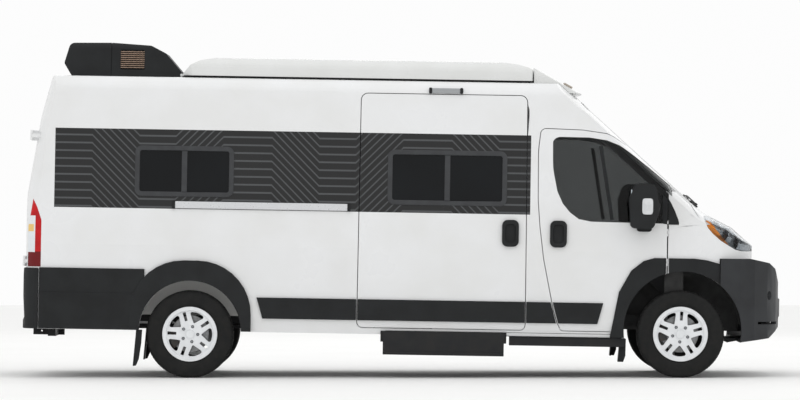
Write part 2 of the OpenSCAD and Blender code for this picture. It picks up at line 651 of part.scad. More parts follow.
// a piece of cladding lying on the wall
module skin_piece(p, out = 0) difference() {
  along_y(p, -half_w - clad_t - out, -half_w + 40);
  cab_solid(0);
}
function slanted(x0, x1, z0, z1, s0, s1) = [[x0 + s0, z0], [x1 + s1, z0], [x1, z1], [x0, z1]];
flare_outline = [[fx - 583, clad_low], [fx + 583, clad_low], [fx + 583, fz + 150], [fx + 318, fz + 581],
  [fx + 213, fz + 610], [fx + 84, fz + 625], [fx - 96, fz + 635], [fx - 215, fz + 625], [fx - 314, fz + 596],
  [fx - 414, fz + 516], [fx - 513, fz + 337]];
module front_flare(x0, x1, bevel) difference() {
  intersection() {
    along_y(flare_outline, -half_w - clad_t, -half_w + 60);
    along_z(inset(nose_plan, -clad_t), 0, far);
    block(x0, x1, -half_w - 90, 0, 0, up(1020));
  }
  arch_hole(front_arch, front_arch_r, 400);
  nose_solid(0);
  // the edge at the door hinges falls away so that the door can swing
  along_z([[x1 - bevel - 3, -half_w - clad_t - 6], [x1 + 1, -half_w - clad_t - 6], [x1 + 1, -half_w + 2]], 0, far);
}
handle_low = 36;
handle_h = 220;
handle_l = 138;
module pull_handle(x) on_wall() difference() {
  along_y(box_points(x - handle_l / 2, x + handle_l / 2, handle_low, handle_low + handle_h, 45), -26, 0);
  along_y(box_points(x - handle_l / 2 + 26, x + handle_l / 2 - 26, handle_low + 34, handle_low + handle_h - 34, 30),
    -40, -8);
}
rail_rear = rx - 138;
rail_front = slide_rear - 87;
rail_low_z = up(1364);
rail_top_z = up(1422);
flap_t = 12;
module mud_flap(x, lean_x, z0, z1, y0, y1)
  along_y([[x + lean_x, z0], [x + lean_x + flap_t, z0], [x + flap_t, z1], [x, z1]], y0, y1);
module cladding(sliding) {
  difference() {
    union() {
      skin_piece([[body_rear + 118, quarter_crease], [rx - 380, quarter_crease], [rx - 380, quarter_top],
        [body_rear + 118, quarter_top]]);
      skin_piece([[body_rear + 118, clad_low], [rx - 380, clad_low], [rx - 380, quarter_crease],
        [body_rear + 118, quarter_crease]], 5);
      skin_piece(rounded([[rx - rear_flare, clad_low, 0], [rx + rear_flare, clad_low, 0],
        [rx + rear_flare, rz + 606, 440], [rx - rear_flare, rz + 606, 440]], 9), 7);
    }
    arch_hole(rear_arch, rear_arch_r, 400);
  }
  difference() {
    mud_flap(rx - 440, -24, up(62), clad_low + 6, -half_w - 2, -half_w + 200);
    cab_solid(0);
  }
  mud_flap(fx - 494, -16, up(160), sill_z, -half_w + 61, -half_w + 200);
  if (sliding) {
    skin_piece(slanted(rx + 545, slide_rear - 3, strip_low, strip_top, 50, 0));
    skin_piece(slanted(slide_rear + shut_gap + 3, slide_front - shut_gap - 3, strip_low, strip_top, 0, 0));
    skin_piece(slanted(slide_front + 3, fx - 1073, strip_low, strip_top, 0, 47));
    pull_handle(slide_front - 137);
    for (x = [rail_rear - 24, rail_front]) on_wall()
      block(x, x + 24, -20, 0, rail_low_z - waist_z - 4, rail_top_z - waist_z + 4);
  }
  else skin_piece(slanted(rx + 545, fx - 1073, strip_low, strip_top, 50, 47));
  front_flare(door_front + 8, fx + 318, 0);
}
module cladding_right() color("black") body_frame() cladding(true);
module cladding_left() color("black") body_frame() mirror([0, 1, 0]) cladding(false);
module door_trim() {
  skin_piece(slanted(fx - 1061 + shut_gap, fx - 640, strip_low, strip_top, 47, -46));
  front_flare(fx - 583, door_front - 12, 18);
  pull_handle(fx - 1017);
}
module door_trim_right() color("black") body_frame() door_trim();
module door_trim_left() color("black") body_frame() mirror([0, 1, 0]) door_trim();

mirror_outline = rounded(from_front([[-430, 1262, 40], [-250, 1255, 50], [-190, 1420, 60], [-235, 1630, 60],
  [-400, 1632, 60], [-448, 1500, 60]]));
mirror_plan = rounded([[fx - 452, -half_w - mirror_reach, 40], [fx - 180, -half_w - mirror_reach, 95],
  [fx - 180, -half_w - 30, 60], [fx - 452, -half_w - 30, 20]]);
mirror_foot = rounded(from_front([[-390, 1235, 25], [-240, 1235, 25], [-270, 1300, 25], [-360, 1300, 25]]));
module mirror_solid() intersection() {
  along_y(mirror_outline, -half_w - mirror_reach, -half_w - 30);
  along_z(mirror_plan, 0, far);
}
module mirror_case() {
  difference() {
    mirror_solid();
    // the glass and the side lens sit in these hollows
    block(fx - 490, fx - 425, -half_w - mirror_reach + 22, -half_w - 50, up(1310), up(1595));
    along_y(box_points(fx - 344, fx - 251, up(1374), up(1512), 30), -half_w - mirror_reach - 9, -half_w - mirror_reach + 4);
  }
  difference() {
    along_y(mirror_foot, -half_w - 90, -half_w + 60);
    mirror_solid();
    cab_solid(0);
  }
}
module mirror_right() color("black") body_frame() mirror_case();
module mirror_left() color("black") body_frame() mirror([0, 1, 0]) mirror_case();

module headlamps() color("silver") body_frame() both() difference() {
  intersection() {
    nose_shell(0, 40);
    along_y(flat(lamp_outline), -half_w - 90, -540);
    block(fx, far, -half_w - 90, -hood_edge, 0, far);
    along_y(nose_limit, -half_w - 90, 0);
  }
  hood_region(0);
}
module tail_lamps() color("red") body_frame() both() intersection() {
  cab_shell(0, wall);
  along_y(rounded(tail_outline), -half_w - 60, -lamp_in);
}
porch_x = fx - 1959;
porch_l = 276;
marker_y = [-640, -330, 0, 330, 640];
module roof_lamps() color("orange") body_frame() difference() {
  union() {
    block(porch_x - porch_l / 2, porch_x + porch_l / 2, -half_roof - 24, -half_roof + 60, up(2346), up(2388));
    for (y = marker_y) translate([cap_line[0].x, y, cap_line[0].y]) rotate([0, cap_line[1], 0])
      block(-74, 2, -34, 34, -40, 16 - lookup(abs(y) / half_w, front_bow) * sin(cap_line[1]));
  }
  cab_solid(0);
  cap_solid();
}

// outline of the air conditioner: [behind the rear axle, share of its height]
cooler_outline = [[1010, -0.2, 0], [145, -0.2, 0], [130, 0.15, 0], [262, 0.69, 40], [384, 0.91, 60],
  [716, 0.98, 0], [1060, 0.96, 50], [1110, 0.36, 30], [1060, 0.07, 0]];
cooler_points = rounded([for (q = cooler_outline) [rx - q[0], roof_z + q[1] * cooler_h, q[2]]]);
cooler_section = rounded([[-cooler_w / 2, roof_z - 90, 0], [cooler_w / 2, roof_z - 90, 0],
  [cooler_w / 2 - 30, roof_z + cooler_h, 60], [-cooler_w / 2 + 30, roof_z + cooler_h, 60]]);
cooler_seam = rx - 716;
vent_rear = rx - 640;
vent_front = rx - 440;
vent_low = roof_z + 0.2 * cooler_h;
vent_top = roof_z + 0.78 * cooler_h;
module cooler_solid(d) intersection() {
  along_y(inset(cooler_points, d), -cooler_w, cooler_w);
  along_x(inset(cooler_section, d), -far, far);
}
module air_conditioner() color("black") body_frame() difference() {
  union() {
    difference() {
      cooler_solid(0);
      // the seam round the shroud and the side vents
      difference() {
        block(cooler_seam - 4, cooler_seam + 4, -cooler_w, cooler_w, 0, far);
        cooler_solid(6);
      }
      both() along_y(box_points(vent_rear, vent_front, vent_low, vent_top, 14), -cooler_w, -cooler_w / 2 + 46);
    }
    both() intersection() {
      cooler_solid(7);
      for (k = [1:slat_count]) {
        z = vent_low + (vent_top - vent_low) * k / (slat_count + 1);
        block(vent_rear - 2, vent_front + 2, -cooler_w / 2, -cooler_w / 2 + 50, z - 3, z + 3);
      }
    }
  }
  cab_solid(0);
}

step_x = slide_window_x - 12;
step_low = up(191);
step_top = up(386);
module entry_step() color("dimgray") body_frame() {
  block(step_x - step_l / 2, step_x + step_l / 2, -half_w - 20, -half_w, step_low, step_top);
  block(step_x - step_l / 2, step_x + step_l / 2, -half_w - 32, -half_w - 20, step_low, step_low + 22);
  block(step_x - step_l / 2 + 30, step_x + step_l / 2 - 30, -half_w, -600, step_low + 9, sill_z);
  for (x = [step_x - step_l / 2 - 20, step_x + step_l / 2]) block(x, x + 20, -half_w - 12, -half_w, step_top - 90, step_top);
  // bar under the sill ahead of the step
  block(fx - 1409, fx - 455, -half_w + 20, -half_w + 60, sill_z - 75, sill_z);
}
module door_rail() color("silver") body_frame()
  on_wall() block(rail_rear, rail_front, -16, 0, rail_low_z - waist_z, rail_top_z - waist_z);

// the wheel houses; the front ones carry the strut tops
module house(at, r, y0, y1) difference() {
  rod_y(at.x, at.y, r + house_t, y0, y1);
  rod_y(at.x, at.y, r, y0 - 9, y1 + 9);
}
module liners() color("black") body_frame() both() {
  intersection() {
    union() {
      house(rear_arch, rear_arch_r, -half_w + wall, -house_in - house_t);
      rod_y(rear_arch.x, rear_arch.y, rear_arch_r + house_t, -house_in - house_t, -house_in);
    }
    block(rx - 900, rx + 900, -half_w, 0, floor_z - floor_t, far);
  }
  difference() {
    union() {
      intersection() {
        house(front_arch, front_arch_r, -half_w + wall + 8, -front_house_in);
        nose_solid(skin_t);
        block(fx - 900, fx + 900, -half_w, 0, floor_z - floor_t, far);
      }
      intersection() {
        block(fx - 70, fx + 90, -760, -540, fz + 470, fz + 540);
        rod_y(front_arch.x, front_arch.y, front_arch_r + house_t, -half_w, 0);
      }
    }
    rotate([0, -rake, 0]) strut_line() translate([0, 0, -100]) cylinder(r = strut_pin_r + 0.4, h = 2000);
  }
}

// the lower ball joint on each steering axis
ball_y = 790;
ball_z = axle_z - 150;
strut_pin_r = 12;
module strut_line() translate([front_axle, -ball_y, ball_z]) rotate([-strut_lean, 0, 0]) children();
rail_y = 440;
rail_half = 40;
rail_low = floor_z - floor_t - 60;
module chassis() color("dimgray") {
  body_frame() {
    both() block(body_rear + 90, fx + 480, -rail_y - rail_half, -rail_y + rail_half, rail_low, floor_z - floor_t);
    for (x = [body_rear + 190, rx + 420, fx - 700, fx + 400])
      block(x - rail_half, x + rail_half, -rail_y, rail_y, rail_low, floor_z - floor_t);
  }
  // lower arms and their cross member, level with the wheels
  block(front_axle - 90, front_axle + 90, -rail_y - rail_half, rail_y + rail_half, ball_z - 40, rail_low - 30);
  both() {
    block(front_axle - 40, front_axle + 40, -ball_y - 26, -rail_y, ball_z - 30, ball_z - 8);
    strut_line() translate([0, 0, -25]) cylinder(r = strut_pin_r, h = 55);
  }
}
spring_half = 32;
module rear_axle() color("dimgray") {
  rod_y(rear_axle_at, axle_z, 38, -700, 700);
  both() {
    rod_y(rear_axle_at, axle_z, stub_d / 2, -wheel_y - 20, -690);
    rod_y(rear_axle_at, axle_z, 95, -715, -700);
    // leaf spring with its shackles under the rail
    block(rear_axle_at - 640, rear_axle_at + 640, -rail_y - spring_half, -rail_y + spring_half, axle_z + 36, axle_z + 56);
    intersection() {
      body_frame() block(rx - 900, rx + 900, -rail_y - spring_half, -rail_y + spring_half, 0, rail_low);
      for (e = [-620, 560]) block(rear_axle_at + e, rear_axle_at + e + 60, -rail_y - spring_half, -rail_y + spring_half,
        axle_z + 36, axle_z + 200);
    }
  }
}
hitch_half = hitch_bore / 2 + 6;
hitch_rear = body_rear + 12;
hitch_z = sill_z - 42;
module hitch() color("black") body_frame() {
  difference() {
    block(hitch_rear, hitch_rear + 260, -hitch_half, hitch_half, hitch_z - hitch_half, hitch_z + hitch_half);
    block(hitch_rear - 9, hitch_rear + 230, -hitch_bore / 2, hitch_bore / 2, hitch_z - hitch_bore / 2,
      hitch_z + hitch_bore / 2);
    rod_y(hitch_rear + 70, hitch_z, hitch_pin_d / 2, -90, 90);
  }
  difference() {
    block(hitch_rear + 150, hitch_rear + 215, -rail_y - rail_half, rail_y + rail_half, hitch_z - hitch_half,
      hitch_z + hitch_half);
    block(hitch_rear, hitch_rear + 260, -hitch_half, hitch_half, 0, far);
  }
  both() block(hitch_rear + 150, hitch_rear + 215, -rail_y - rail_half, -rail_y + rail_half, hitch_z + hitch_half, rail_low);
}
module engine() color("gray") body_frame() block(fx + 60, fx + 480, -380, 380, floor_z - floor_t, up(1120));
muffler_r = 58;
muffler_y = 620;
module exhaust() color("silver") body_frame() {
  rod_x(muffler_y, floor_z - floor_t - muffler_r - 4, muffler_r, rx + 1500, rx + 2000);
  rod_x(muffler_y, floor_z - floor_t - muffler_r - 4, 26, rx + 1100, rx + 2500);
  for (x = [rx + 1560, rx + 1920]) block(x, x + 24, muffler_y - 20, muffler_y + 20, floor_z - floor_t - 40, floor_z - floor_t);
}
module tanks() color("black") body_frame() block(rx + 500, rx + 1300, -380, 380, sill_z + 6, floor_z - floor_t);

module dashboard() color("dimgray") body_frame() difference() {
  intersection() {
    cab_solid(wall);
    along_y(rounded([[fx - 300, up(860), 20], [door_front + 4, up(700), 0], [door_front + 4, belt_z, 0],
      [fx - 255, up(1345), 40], [fx - 350, up(1160), 40]]), -far, far);
  }
  steering_column(column_r + 0.4);
  both() rod_y(front_arch.x, front_arch.y, front_arch_r + house_t, -half_w, -front_house_in);
}
seat_y = 460;
module seat() translate([fx - 800, 0, floor_z]) {
  block(-210, 230, -200, 200, 0, 240);
  along_y(box_points(-250, 260, 240, 370, 40), -250, 250);
  along_y(rounded([[-250, 370, 0], [-130, 370, 0], [-230, 980, 30], [-320, 980, 30]]), -240, 240);
  along_y(box_points(-335, -245, 1000, 1170, 30), -130, 130);
  for (y = [-70, 70]) translate([-285, y, 970]) cylinder(d = 14, h = 40);
}
module seats() color("dimgray") body_frame() for (y = [-seat_y, seat_y]) translate([0, y, 0]) seat();
column_at = [fx - 440, seat_y, up(1240)];
column_tilt = 50;
column_r = 14;
grip_r = 185;
module steering_column(r) translate(column_at) rotate([0, 90 + column_tilt, 0]) cylinder(r = r, h = 260);
module steering_wheel() color("black") body_frame() {
  translate(column_at) rotate([0, 90 + column_tilt, 0]) {
    rotate_extrude() translate([grip_r, 0]) circle(15);
    translate([0, 0, -20]) cylinder(r = 60, h = 40);
    for (a = [0, 120, 240]) rotate(a) translate([50, -16, -10]) cube([grip_r - 57, 32, 20]);
  }
  steering_column(column_r);
}

module knuckle() difference() {
  union() {
    rod_y(front_axle, axle_z, stub_d / 2, -wheel_y - 20, -760);
    rod_y(front_axle, axle_z, 70, -800, -730);
    strut_line() translate([0, 0, 4]) cylinder(r = 34, h = 395);
    strut_line() translate([0, 0, 40]) cylinder(r = strut_pin_r, h = 665);
  }
  strut_line() translate([0, 0, -60]) cylinder(r = strut_pin_r + 0.4, h = 100);
}
module knuckle_right() color("gray") knuckle();
module knuckle_left() color("gray") mirror([0, 1, 0]) knuckle();

rim_r = rim_d / 2;
seat_r = rim_r - 10;
bore_r = seat_r - 22;
bead = tyre_w / 2 - 24;
flange = bead + 10;
tyre_r = tyre_d / 2;
tyre_half = tyre_w / 2;
// half of the tyre's section, inside to outside: [radius, across]
tyre_side = [[seat_r, bead], [rim_r + 2, bead], [rim_r + 18, tyre_half - 6], [rim_r + 60, tyre_half],
  [tyre_r - 40, tyre_half - 3], [tyre_r - 12, tyre_half - 14], [tyre_r, tyre_half - 34]];
module tyre_body() rotate_extrude($fn = 72) polygon(concat([for (q = tyre_side) [q.x, -q.y]],
  [for (i = [len(tyre_side) - 1:-1:0]) tyre_side[i]]));
spokes = 5;
disc_low = 40;
disc_t = 40;
module rim_body() difference() {
  union() {
    rotate_extrude($fn = 72) polygon([[bore_r, -flange], [rim_r, -flange], [rim_r, -bead], [seat_r, -bead],
      [seat_r, bead], [rim_r, bead], [rim_r, flange], [bore_r, flange]]);
    translate([0, 0, disc_low]) cylinder(r = bore_r, h = disc_t);
    translate([0, 0, -70]) cylinder(r = 82, h = 70 + disc_low + disc_t);
  }
  // a slot within each spoke pair, a window between pairs, a lug recess
  for (k = [1:spokes]) rotate(360 / spokes * k) translate([0, 0, disc_low - 10]) {
    rotate(90) linear_extrude(60) polygon([[112, -11], [bore_r - 10, -13], [bore_r - 10, 13], [112, 11]]);
    rotate(126) linear_extrude(60)
      polygon(rounded([[92, 0, 8], [bore_r - 24, -66, 14], [bore_r - 4, 0, 120], [bore_r - 24, 66, 14]]));
    rotate(54) translate([bolt_circle / 2, 0, 30]) cylinder(d = 26, h = 30);
  }
  translate([0, 0, -80]) cylinder(d = stub_d + 0.6, h = 140);
}
module wheel_at(x, side, turn) translate([x, 0, axle_z]) mirror([0, side < 0 ? 0 : 1, 0])
  translate([0, -wheel_y, 0]) rotate([90, 0, 0]) rotate(turn) children();
front_turn = -4;
rear_turn = 15;
module tyre_front_right() color("black") wheel_at(front_axle, -1, front_turn) tyre_body();
module tyre_front_left() color("black") wheel_at(front_axle, 1, front_turn) tyre_body();
module tyre_rear_right() color("black") wheel_at(rear_axle_at, -1, rear_turn) tyre_body();
module tyre_rear_left() color("black") wheel_at(rear_axle_at, 1, rear_turn) tyre_body();
module rim_front_right() color("silver") wheel_at(front_axle, -1, front_turn) rim_body();
module rim_front_left() color("silver") wheel_at(front_axle, 1, front_turn) rim_body();
module rim_rear_right() color("silver") wheel_at(rear_axle_at, -1, rear_turn) rim_body();
module rim_rear_left() color("silver") wheel_at(rear_axle_at, 1, rear_turn) rim_body();

floor();
side_right();
side_left();
roof();
roof_seal();
roof_cap();
front_end();
hood();
cowl();
sliding_door();
door_right();
door_left();
rear_door_right();
rear_door_left();
pop_top();
windshield();
door_glass_right();
door_glass_left();
rear_glass_right();
rear_glass_left();
window_frames();
window_panes();
bumper_front();
bumper_rear();
cladding_right();
cladding_left();
door_trim_right();
door_trim_left();
mirror_right();
mirror_left();
headlamps();
tail_lamps();
roof_lamps();
air_conditioner();
entry_step();
door_rail();
liners();
chassis();
hitch();
rear_axle();
engine();
exhaust();
tanks();
dashboard();
seats();
steering_wheel();
knuckle_right();
knuckle_left();
tyre_front_right();
tyre_front_left();
tyre_rear_right();
tyre_rear_left();
rim_front_right();
rim_front_left();
rim_rear_right();
rim_rear_left();
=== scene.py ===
import json
import math
import bpy
import bmesh
import numpy as np
from mathutils.bvhtree import BVHTree
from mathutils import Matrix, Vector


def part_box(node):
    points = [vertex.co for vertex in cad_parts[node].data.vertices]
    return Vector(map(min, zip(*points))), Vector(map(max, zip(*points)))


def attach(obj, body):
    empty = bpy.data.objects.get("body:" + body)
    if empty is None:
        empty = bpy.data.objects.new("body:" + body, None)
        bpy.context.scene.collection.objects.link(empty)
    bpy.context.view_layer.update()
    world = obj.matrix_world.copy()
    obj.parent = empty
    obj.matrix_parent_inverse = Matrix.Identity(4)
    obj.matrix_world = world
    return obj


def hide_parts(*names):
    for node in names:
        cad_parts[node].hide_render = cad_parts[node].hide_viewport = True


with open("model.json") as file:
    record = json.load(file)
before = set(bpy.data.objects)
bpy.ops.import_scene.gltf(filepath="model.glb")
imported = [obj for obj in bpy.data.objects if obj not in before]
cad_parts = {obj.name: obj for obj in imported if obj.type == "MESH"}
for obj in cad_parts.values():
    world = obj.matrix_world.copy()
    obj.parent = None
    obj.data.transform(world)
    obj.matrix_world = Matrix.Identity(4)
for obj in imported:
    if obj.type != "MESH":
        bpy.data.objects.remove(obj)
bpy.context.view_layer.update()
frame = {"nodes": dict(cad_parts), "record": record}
print("frame loaded:", len(frame["nodes"]), "nodes")

# lengths in metres; the body slopes nose-down over level wheels
van = {"rakeDeg": 0.95, "halfWidth": 1.025, "halfRoof": 0.955, "waist": 1.057, "shoulder": 2.443,
       "roof": 2.457, "floor": 0.54, "frontAxle": 2.2685, "rearAxle": -1.7665, "axleHeight": 0.36,
       "wheelAcross": 0.905}
rakeSin = math.sin(math.radians(van["rakeDeg"]))
rakeCos = math.cos(math.radians(van["rakeDeg"]))
frontX = van["frontAxle"] * rakeCos - van["axleHeight"] * rakeSin  # axles seen in the body's own frame
rearX = van["rearAxle"] * rakeCos - van["axleHeight"] * rakeSin
wallLean = (van["halfWidth"] - van["halfRoof"]) / (van["shoulder"] - van["waist"])
# bow of the front, as share of half width and mm back: the solids' own, then the softer one shown here
solidBow = np.array([[0, 0], [0.39, 8], [0.683, 32], [0.839, 62], [0.927, 105], [0.976, 170], [1.005, 260]])
frontBow = np.array([[0, 0], [0.39, 8], [0.683, 30], [0.839, 56], [0.927, 84], [0.976, 120], [1.005, 175]])
# a point on each plane of the front and its tilt in degrees
screenLines = (((frontX - 0.143, 1.709), 41.4), ((frontX - 0.74, 2.228), 48.0))  # windshield, header
hoodLines = (((frontX + 0.198, 1.404), 26.4), ((frontX + 0.452, 1.278), 41.0))
headerFoot = 2.2634
shutLine = frontX - 0.118
sides = {"right": np.array([1, 1, 1]), "left": np.array([1, -1, 1])}


def toLinear(hexText):
    # sRGB hex to linear RGBA, by the standard two-part curve
    c = np.array([int(hexText[i:i + 2], 16) for i in (1, 3, 5)]) / 255
    c = np.where(c <= 0.04045, c / 12.92, ((c + 0.055) / 1.055) ** 2.4)
    return (*c.tolist(), 1.0)


def toRow(points, way=1):
    # body-frame points turned by the rake into the row frame, or turned back where way is -1
    x, y, z = np.moveaxis(np.asarray(points, float), -1, 0)
    return np.stack([x * rakeCos + way * z * rakeSin, y, z * rakeCos - way * x * rakeSin], -1)


def wallAcross(z):
    # half width of the outer wall: upright to the waist, then leaning in
    return van["halfWidth"] - np.clip(np.asarray(z, float) - van["waist"], 0, None) * wallLean


def bowAt(table, y):
    # how far back the front has bowed, read off its table
    return np.interp(np.abs(y) / van["halfWidth"], table[:, 0], table[:, 1] / 1000)


def screenX(y, z, lift=0.0):
    # the glass face, or the steeper header above its foot, less the bow, plus a lift square to the face
    face = []
    for at, tilt in screenLines:
        a = math.radians(tilt)
        face.append(at[0] - (z - at[1]) / math.tan(a) + lift / math.sin(a))
    return np.where(z > headerFoot, face[1], face[0]) - bowAt(frontBow, y)


def around(count):
    return np.linspace(0, 2 * np.pi, count, endpoint=False)


def superLoop(width, height, power, count):
    # closed superellipse: cosine and sine keep their signs and are raised to 2 / power
    t = around(count)
    c, s = np.cos(t), np.sin(t)
    x = width / 2 * np.sign(c) * np.abs(c) ** (2 / power)
    return np.stack([x, height / 2 * np.sign(s) * np.abs(s) ** (2 / power)], -1)


def plate(size, power, count, depth, edge, crown):
    # a superellipse raised to a depth with a quarter-round edge, crowned to the middle by one less a square
    loop = superLoop(*size, power, count)
    t = np.linspace(0, np.pi / 2, 4)
    shrink = np.concatenate([[0.0], edge * (1 - np.cos(t))])
    rise = np.concatenate([[0.0], depth - edge + edge * np.sin(t)])
    share = 1 - shrink[:, None] / np.abs(loop).max(0)
    inner = np.array([0.8, 0.55, 0.28])
    share = np.concatenate([share, inner[:, None] * share[-1]])
    rise = np.concatenate([rise, depth + crown * (1 - inner ** 2)])
    flat = loop[None] * share[:, None]
    return np.concatenate([flat, np.broadcast_to(rise[:, None, None], flat.shape[:2] + (1,))], -1)


def layered(outlineMm, axleX, layers):
    # an outline in mm ahead of an axle and in height, drawn about its middle in layers of share and depth
    loop = np.array(outlineMm) / 1000 + [axleX, 0]
    middle = loop.mean(0)
    rows = [np.concatenate([(loop - middle) * s, np.full((len(loop), 1), h)], -1) for s, h in layers]
    return np.array(rows), middle


def turned(profile, count):
    # pairs of radius and height turned about the height axis
    r, h = np.asarray(profile, float).T
    t = around(count)
    return onGrid(r[:, None] * np.cos(t), r[:, None] * np.sin(t), h[:, None])


def placed(grid, origin, uAxis, vAxis):
    # local across, up and out coordinates set on two axes and their cross product
    u, v = np.asarray(uAxis, float), np.asarray(vAxis, float)
    u, v = u / np.linalg.norm(u), v / np.linalg.norm(v)
    across, up, out = grid[..., :1], grid[..., 1:2], grid[..., 2:3]
    return np.asarray(origin, float) + across * u + up * v + out * np.cross(u, v)


def swept(path, *size):
    # a superellipse carried along a path, each copy square to the path
    p, section = np.asarray(path, float), superLoop(*size)
    along = np.gradient(p, axis=0)
    along /= np.linalg.norm(along, axis=1, keepdims=True)
    ref = np.where(np.abs(along[:, 2:3]) > 0.9, [[1.0, 0, 0]], [[0, 0, 1.0]])
    side = np.cross(along, ref)
    side /= np.linalg.norm(side, axis=1, keepdims=True)
    top = np.cross(side, along)
    return p[:, None] + section[None, :, :1] * side[:, None] + section[None, :, 1:] * top[:, None]


def onGrid(x, y, z):
    # three coordinates spread to one grid of points
    return np.stack(np.broadcast_arrays(x, y, z), -1)


def bothSides(*grids):
    return [g * flip for flip in sides.values() for g in grids]


def ramp(x, width):
    # none below zero, then rising to one over a width
    return np.clip(x / width, 0, 1)


def pointsOf(mesh, kind="co"):
    # a mesh's points or normals as one array
    values = np.empty(len(mesh.vertices) * 3)
    mesh.vertices.foreach_get(kind, values)
    return values.reshape(-1, 3)


def newObject(name, data):
    made = bpy.data.objects.new(name, data)
    bpy.context.scene.collection.objects.link(made)
    return made


def smoothed(mesh, sharpDeg):
    mesh.polygons.foreach_set("use_smooth", np.ones(len(mesh.polygons), bool))
    mesh.set_sharp_from_angle(angle=math.radians(sharpDeg))


def addPiece(name, grids, finish, body, slot, sharpDeg, ring=False, sheetMm=0.0, raked=True):
    # joins grids of points into one mesh: columns close on themselves and end rows close onto their middles;
    # a ring closes its rows too, and a sheet stays open and gets its thickness from a modifier
    points, quads, start = [], [], 0
    for g in grids:
        g = np.asarray(g, float)
        if not ring and not sheetMm:
            ends = [np.broadcast_to(g[i].mean(0), g[i].shape)[None] for i in (0, -1)]
            g = np.concatenate([ends[0], g, ends[1]])
        k = np.arange(g.shape[0] * g.shape[1]).reshape(g.shape[:2])
        a, b = (k, np.roll(k, -1, 0)) if ring else (k[:-1], k[1:])
        q = np.stack([a, np.roll(a, -1, 1), np.roll(b, -1, 1), b], -1)
        q = (q[:, :-1] if sheetMm else q).reshape(-1, 4)
        p = g.reshape(-1, 3)
        c = p[q] - p.mean(0)
        crosses = np.cross(c[:, 1], c[:, 2]) + np.cross(c[:, 2], c[:, 3])
        volume = np.einsum("ij,ij->i", c[:, 0], crosses).sum()
        quads.append((q[:, ::-1] if volume < 0 else q) + start)
        points.append(p)
        start += len(p)
    p = np.concatenate(points)
    mesh = bpy.data.meshes.new(name)
    mesh.from_pydata((toRow(p) if raked else p).tolist(), [], np.concatenate(quads).tolist())
    bm = bmesh.new()
    bm.from_mesh(mesh)
    bmesh.ops.remove_doubles(bm, verts=bm.verts, dist=1e-6)
    bm.to_mesh(mesh)
    bm.free()
    smoothed(mesh, sharpDeg)
    mesh.materials.append(skin[finish])
    piece = newObject(name, mesh)
    if sheetMm:
        piece.modifiers.new("thickness", "SOLIDIFY").thickness = sheetMm / 1000
    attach(piece, body)
    return piece


def addNode(tree, kind, settings=None, inputs=None):
    # one shader node: settings are its properties, inputs are numbers or sockets to link
    n = tree.nodes.new(kind)
    for k, v in (settings or {}).items():
        setattr(n, k, v)
    for k, v in (inputs or {}).items():
        if isinstance(v, bpy.types.NodeSocket):
            tree.links.new(v, n.inputs[k])
        else:
            n.inputs[k].default_value = v
    return n


def newFinish(name, look):
    # two shades clouded together, roughness that follows the cloud, and a fine relief in real millimetres
    m = bpy.data.materials.new(name)
    m.use_nodes = True
    t = m.node_tree
    shader = t.nodes["Principled BSDF"]
    point = addNode(t, "ShaderNodeTexCoord").outputs["Object"]
    base, other = [toLinear(shade) for shade in look["shades"]]
    cloudMm, most = look["cloud"]
    grain = {"Vector": point, "Scale": 1000 / cloudMm, "Detail": 4.0}
    cloud = addNode(t, "ShaderNodeTexNoise", None, grain).outputs["Fac"]
    span = {"Value": cloud, "From Min": 0.35, "From Max": 0.65, "To Max": most}
    share = addNode(t, "ShaderNodeMapRange", None, span).outputs[0]
    tint = addNode(t, "ShaderNodeMix", {"data_type": "RGBA"}, {0: share, 6: base, 7: other})
    t.links.new(tint.outputs[2], shader.inputs["Base Color"])
    low, high = look["rough"]
    span = {"Value": cloud, "From Min": 0.3, "From Max": 0.7, "To Min": low, "To Max": high}
    sheen = addNode(t, "ShaderNodeMapRange", None, span)
    t.links.new(sheen.outputs[0], shader.inputs["Roughness"])
    if "relief" in look:
        apartMm, deepMm, strength = look["relief"]
        kind, out = "ShaderNodeTexNoise", "Fac"
        if look.get("cells"):
            kind, out = "ShaderNodeTexVoronoi", "Distance"
        relief = addNode(t, kind, None, {"Vector": point, "Scale": 1000 / apartMm}).outputs[out]
        height = {"Height": relief, "Strength": strength, "Distance": deepMm / 1000}
        t.links.new(addNode(t, "ShaderNodeBump", None, height).outputs[0], shader.inputs["Normal"])
    shader.inputs["Metallic"].default_value = look.get("metal", 0.0)
    for k, v in look.get("sockets", {}).items():
        shader.inputs[k].default_value = v
    m.diffuse_color = base
    return m


def overlay(finish, steps, mask, colour):
    # a second colour laid where a mask is one; the mask's sum is a table of named maths nodes
    t = skin[finish].node_tree
    shader = t.nodes["Principled BSDF"]
    made = {"point": addNode(t, "ShaderNodeTexCoord").outputs["Object"]}
    made["across"] = addNode(t, "ShaderNodeSeparateXYZ", None, {0: made["point"]}).outputs["Y"]
    table = (("along", "ShaderNodeVectorMath", "DOT_PRODUCT", "point", (rakeCos, 0, -rakeSin)),
             ("up", "ShaderNodeVectorMath", "DOT_PRODUCT", "point", (rakeSin, 0, rakeCos)),
             ("wide", "ShaderNodeMath", "ABSOLUTE", "across"))
    for key, kind, how, *values in table + tuple((s[0], "ShaderNodeMath", *s[1:]) for s in steps):
        inputs = {i: made[v] if isinstance(v, str) else v for i, v in enumerate(values)}
        made[key] = addNode(t, kind, {"operation": how}, inputs).outputs["Value"]
    old = shader.inputs["Base Color"].links[0].from_socket
    mix = addNode(t, "ShaderNodeMix", {"data_type": "RGBA"}, {0: made[mask], 6: old, 7: toLinear(colour)})
    t.links.new(mix.outputs[2], shader.inputs["Base Color"])


coat = {"Coat Weight": 0.25, "Coat Roughness": 0.06, "Specular IOR Level": 0.3}
dull = {"Specular IOR Level": 0.18}
lensSkin = {"Specular IOR Level": 0.25, "Coat Weight": 0.1, "Coat Roughness": 0.03}
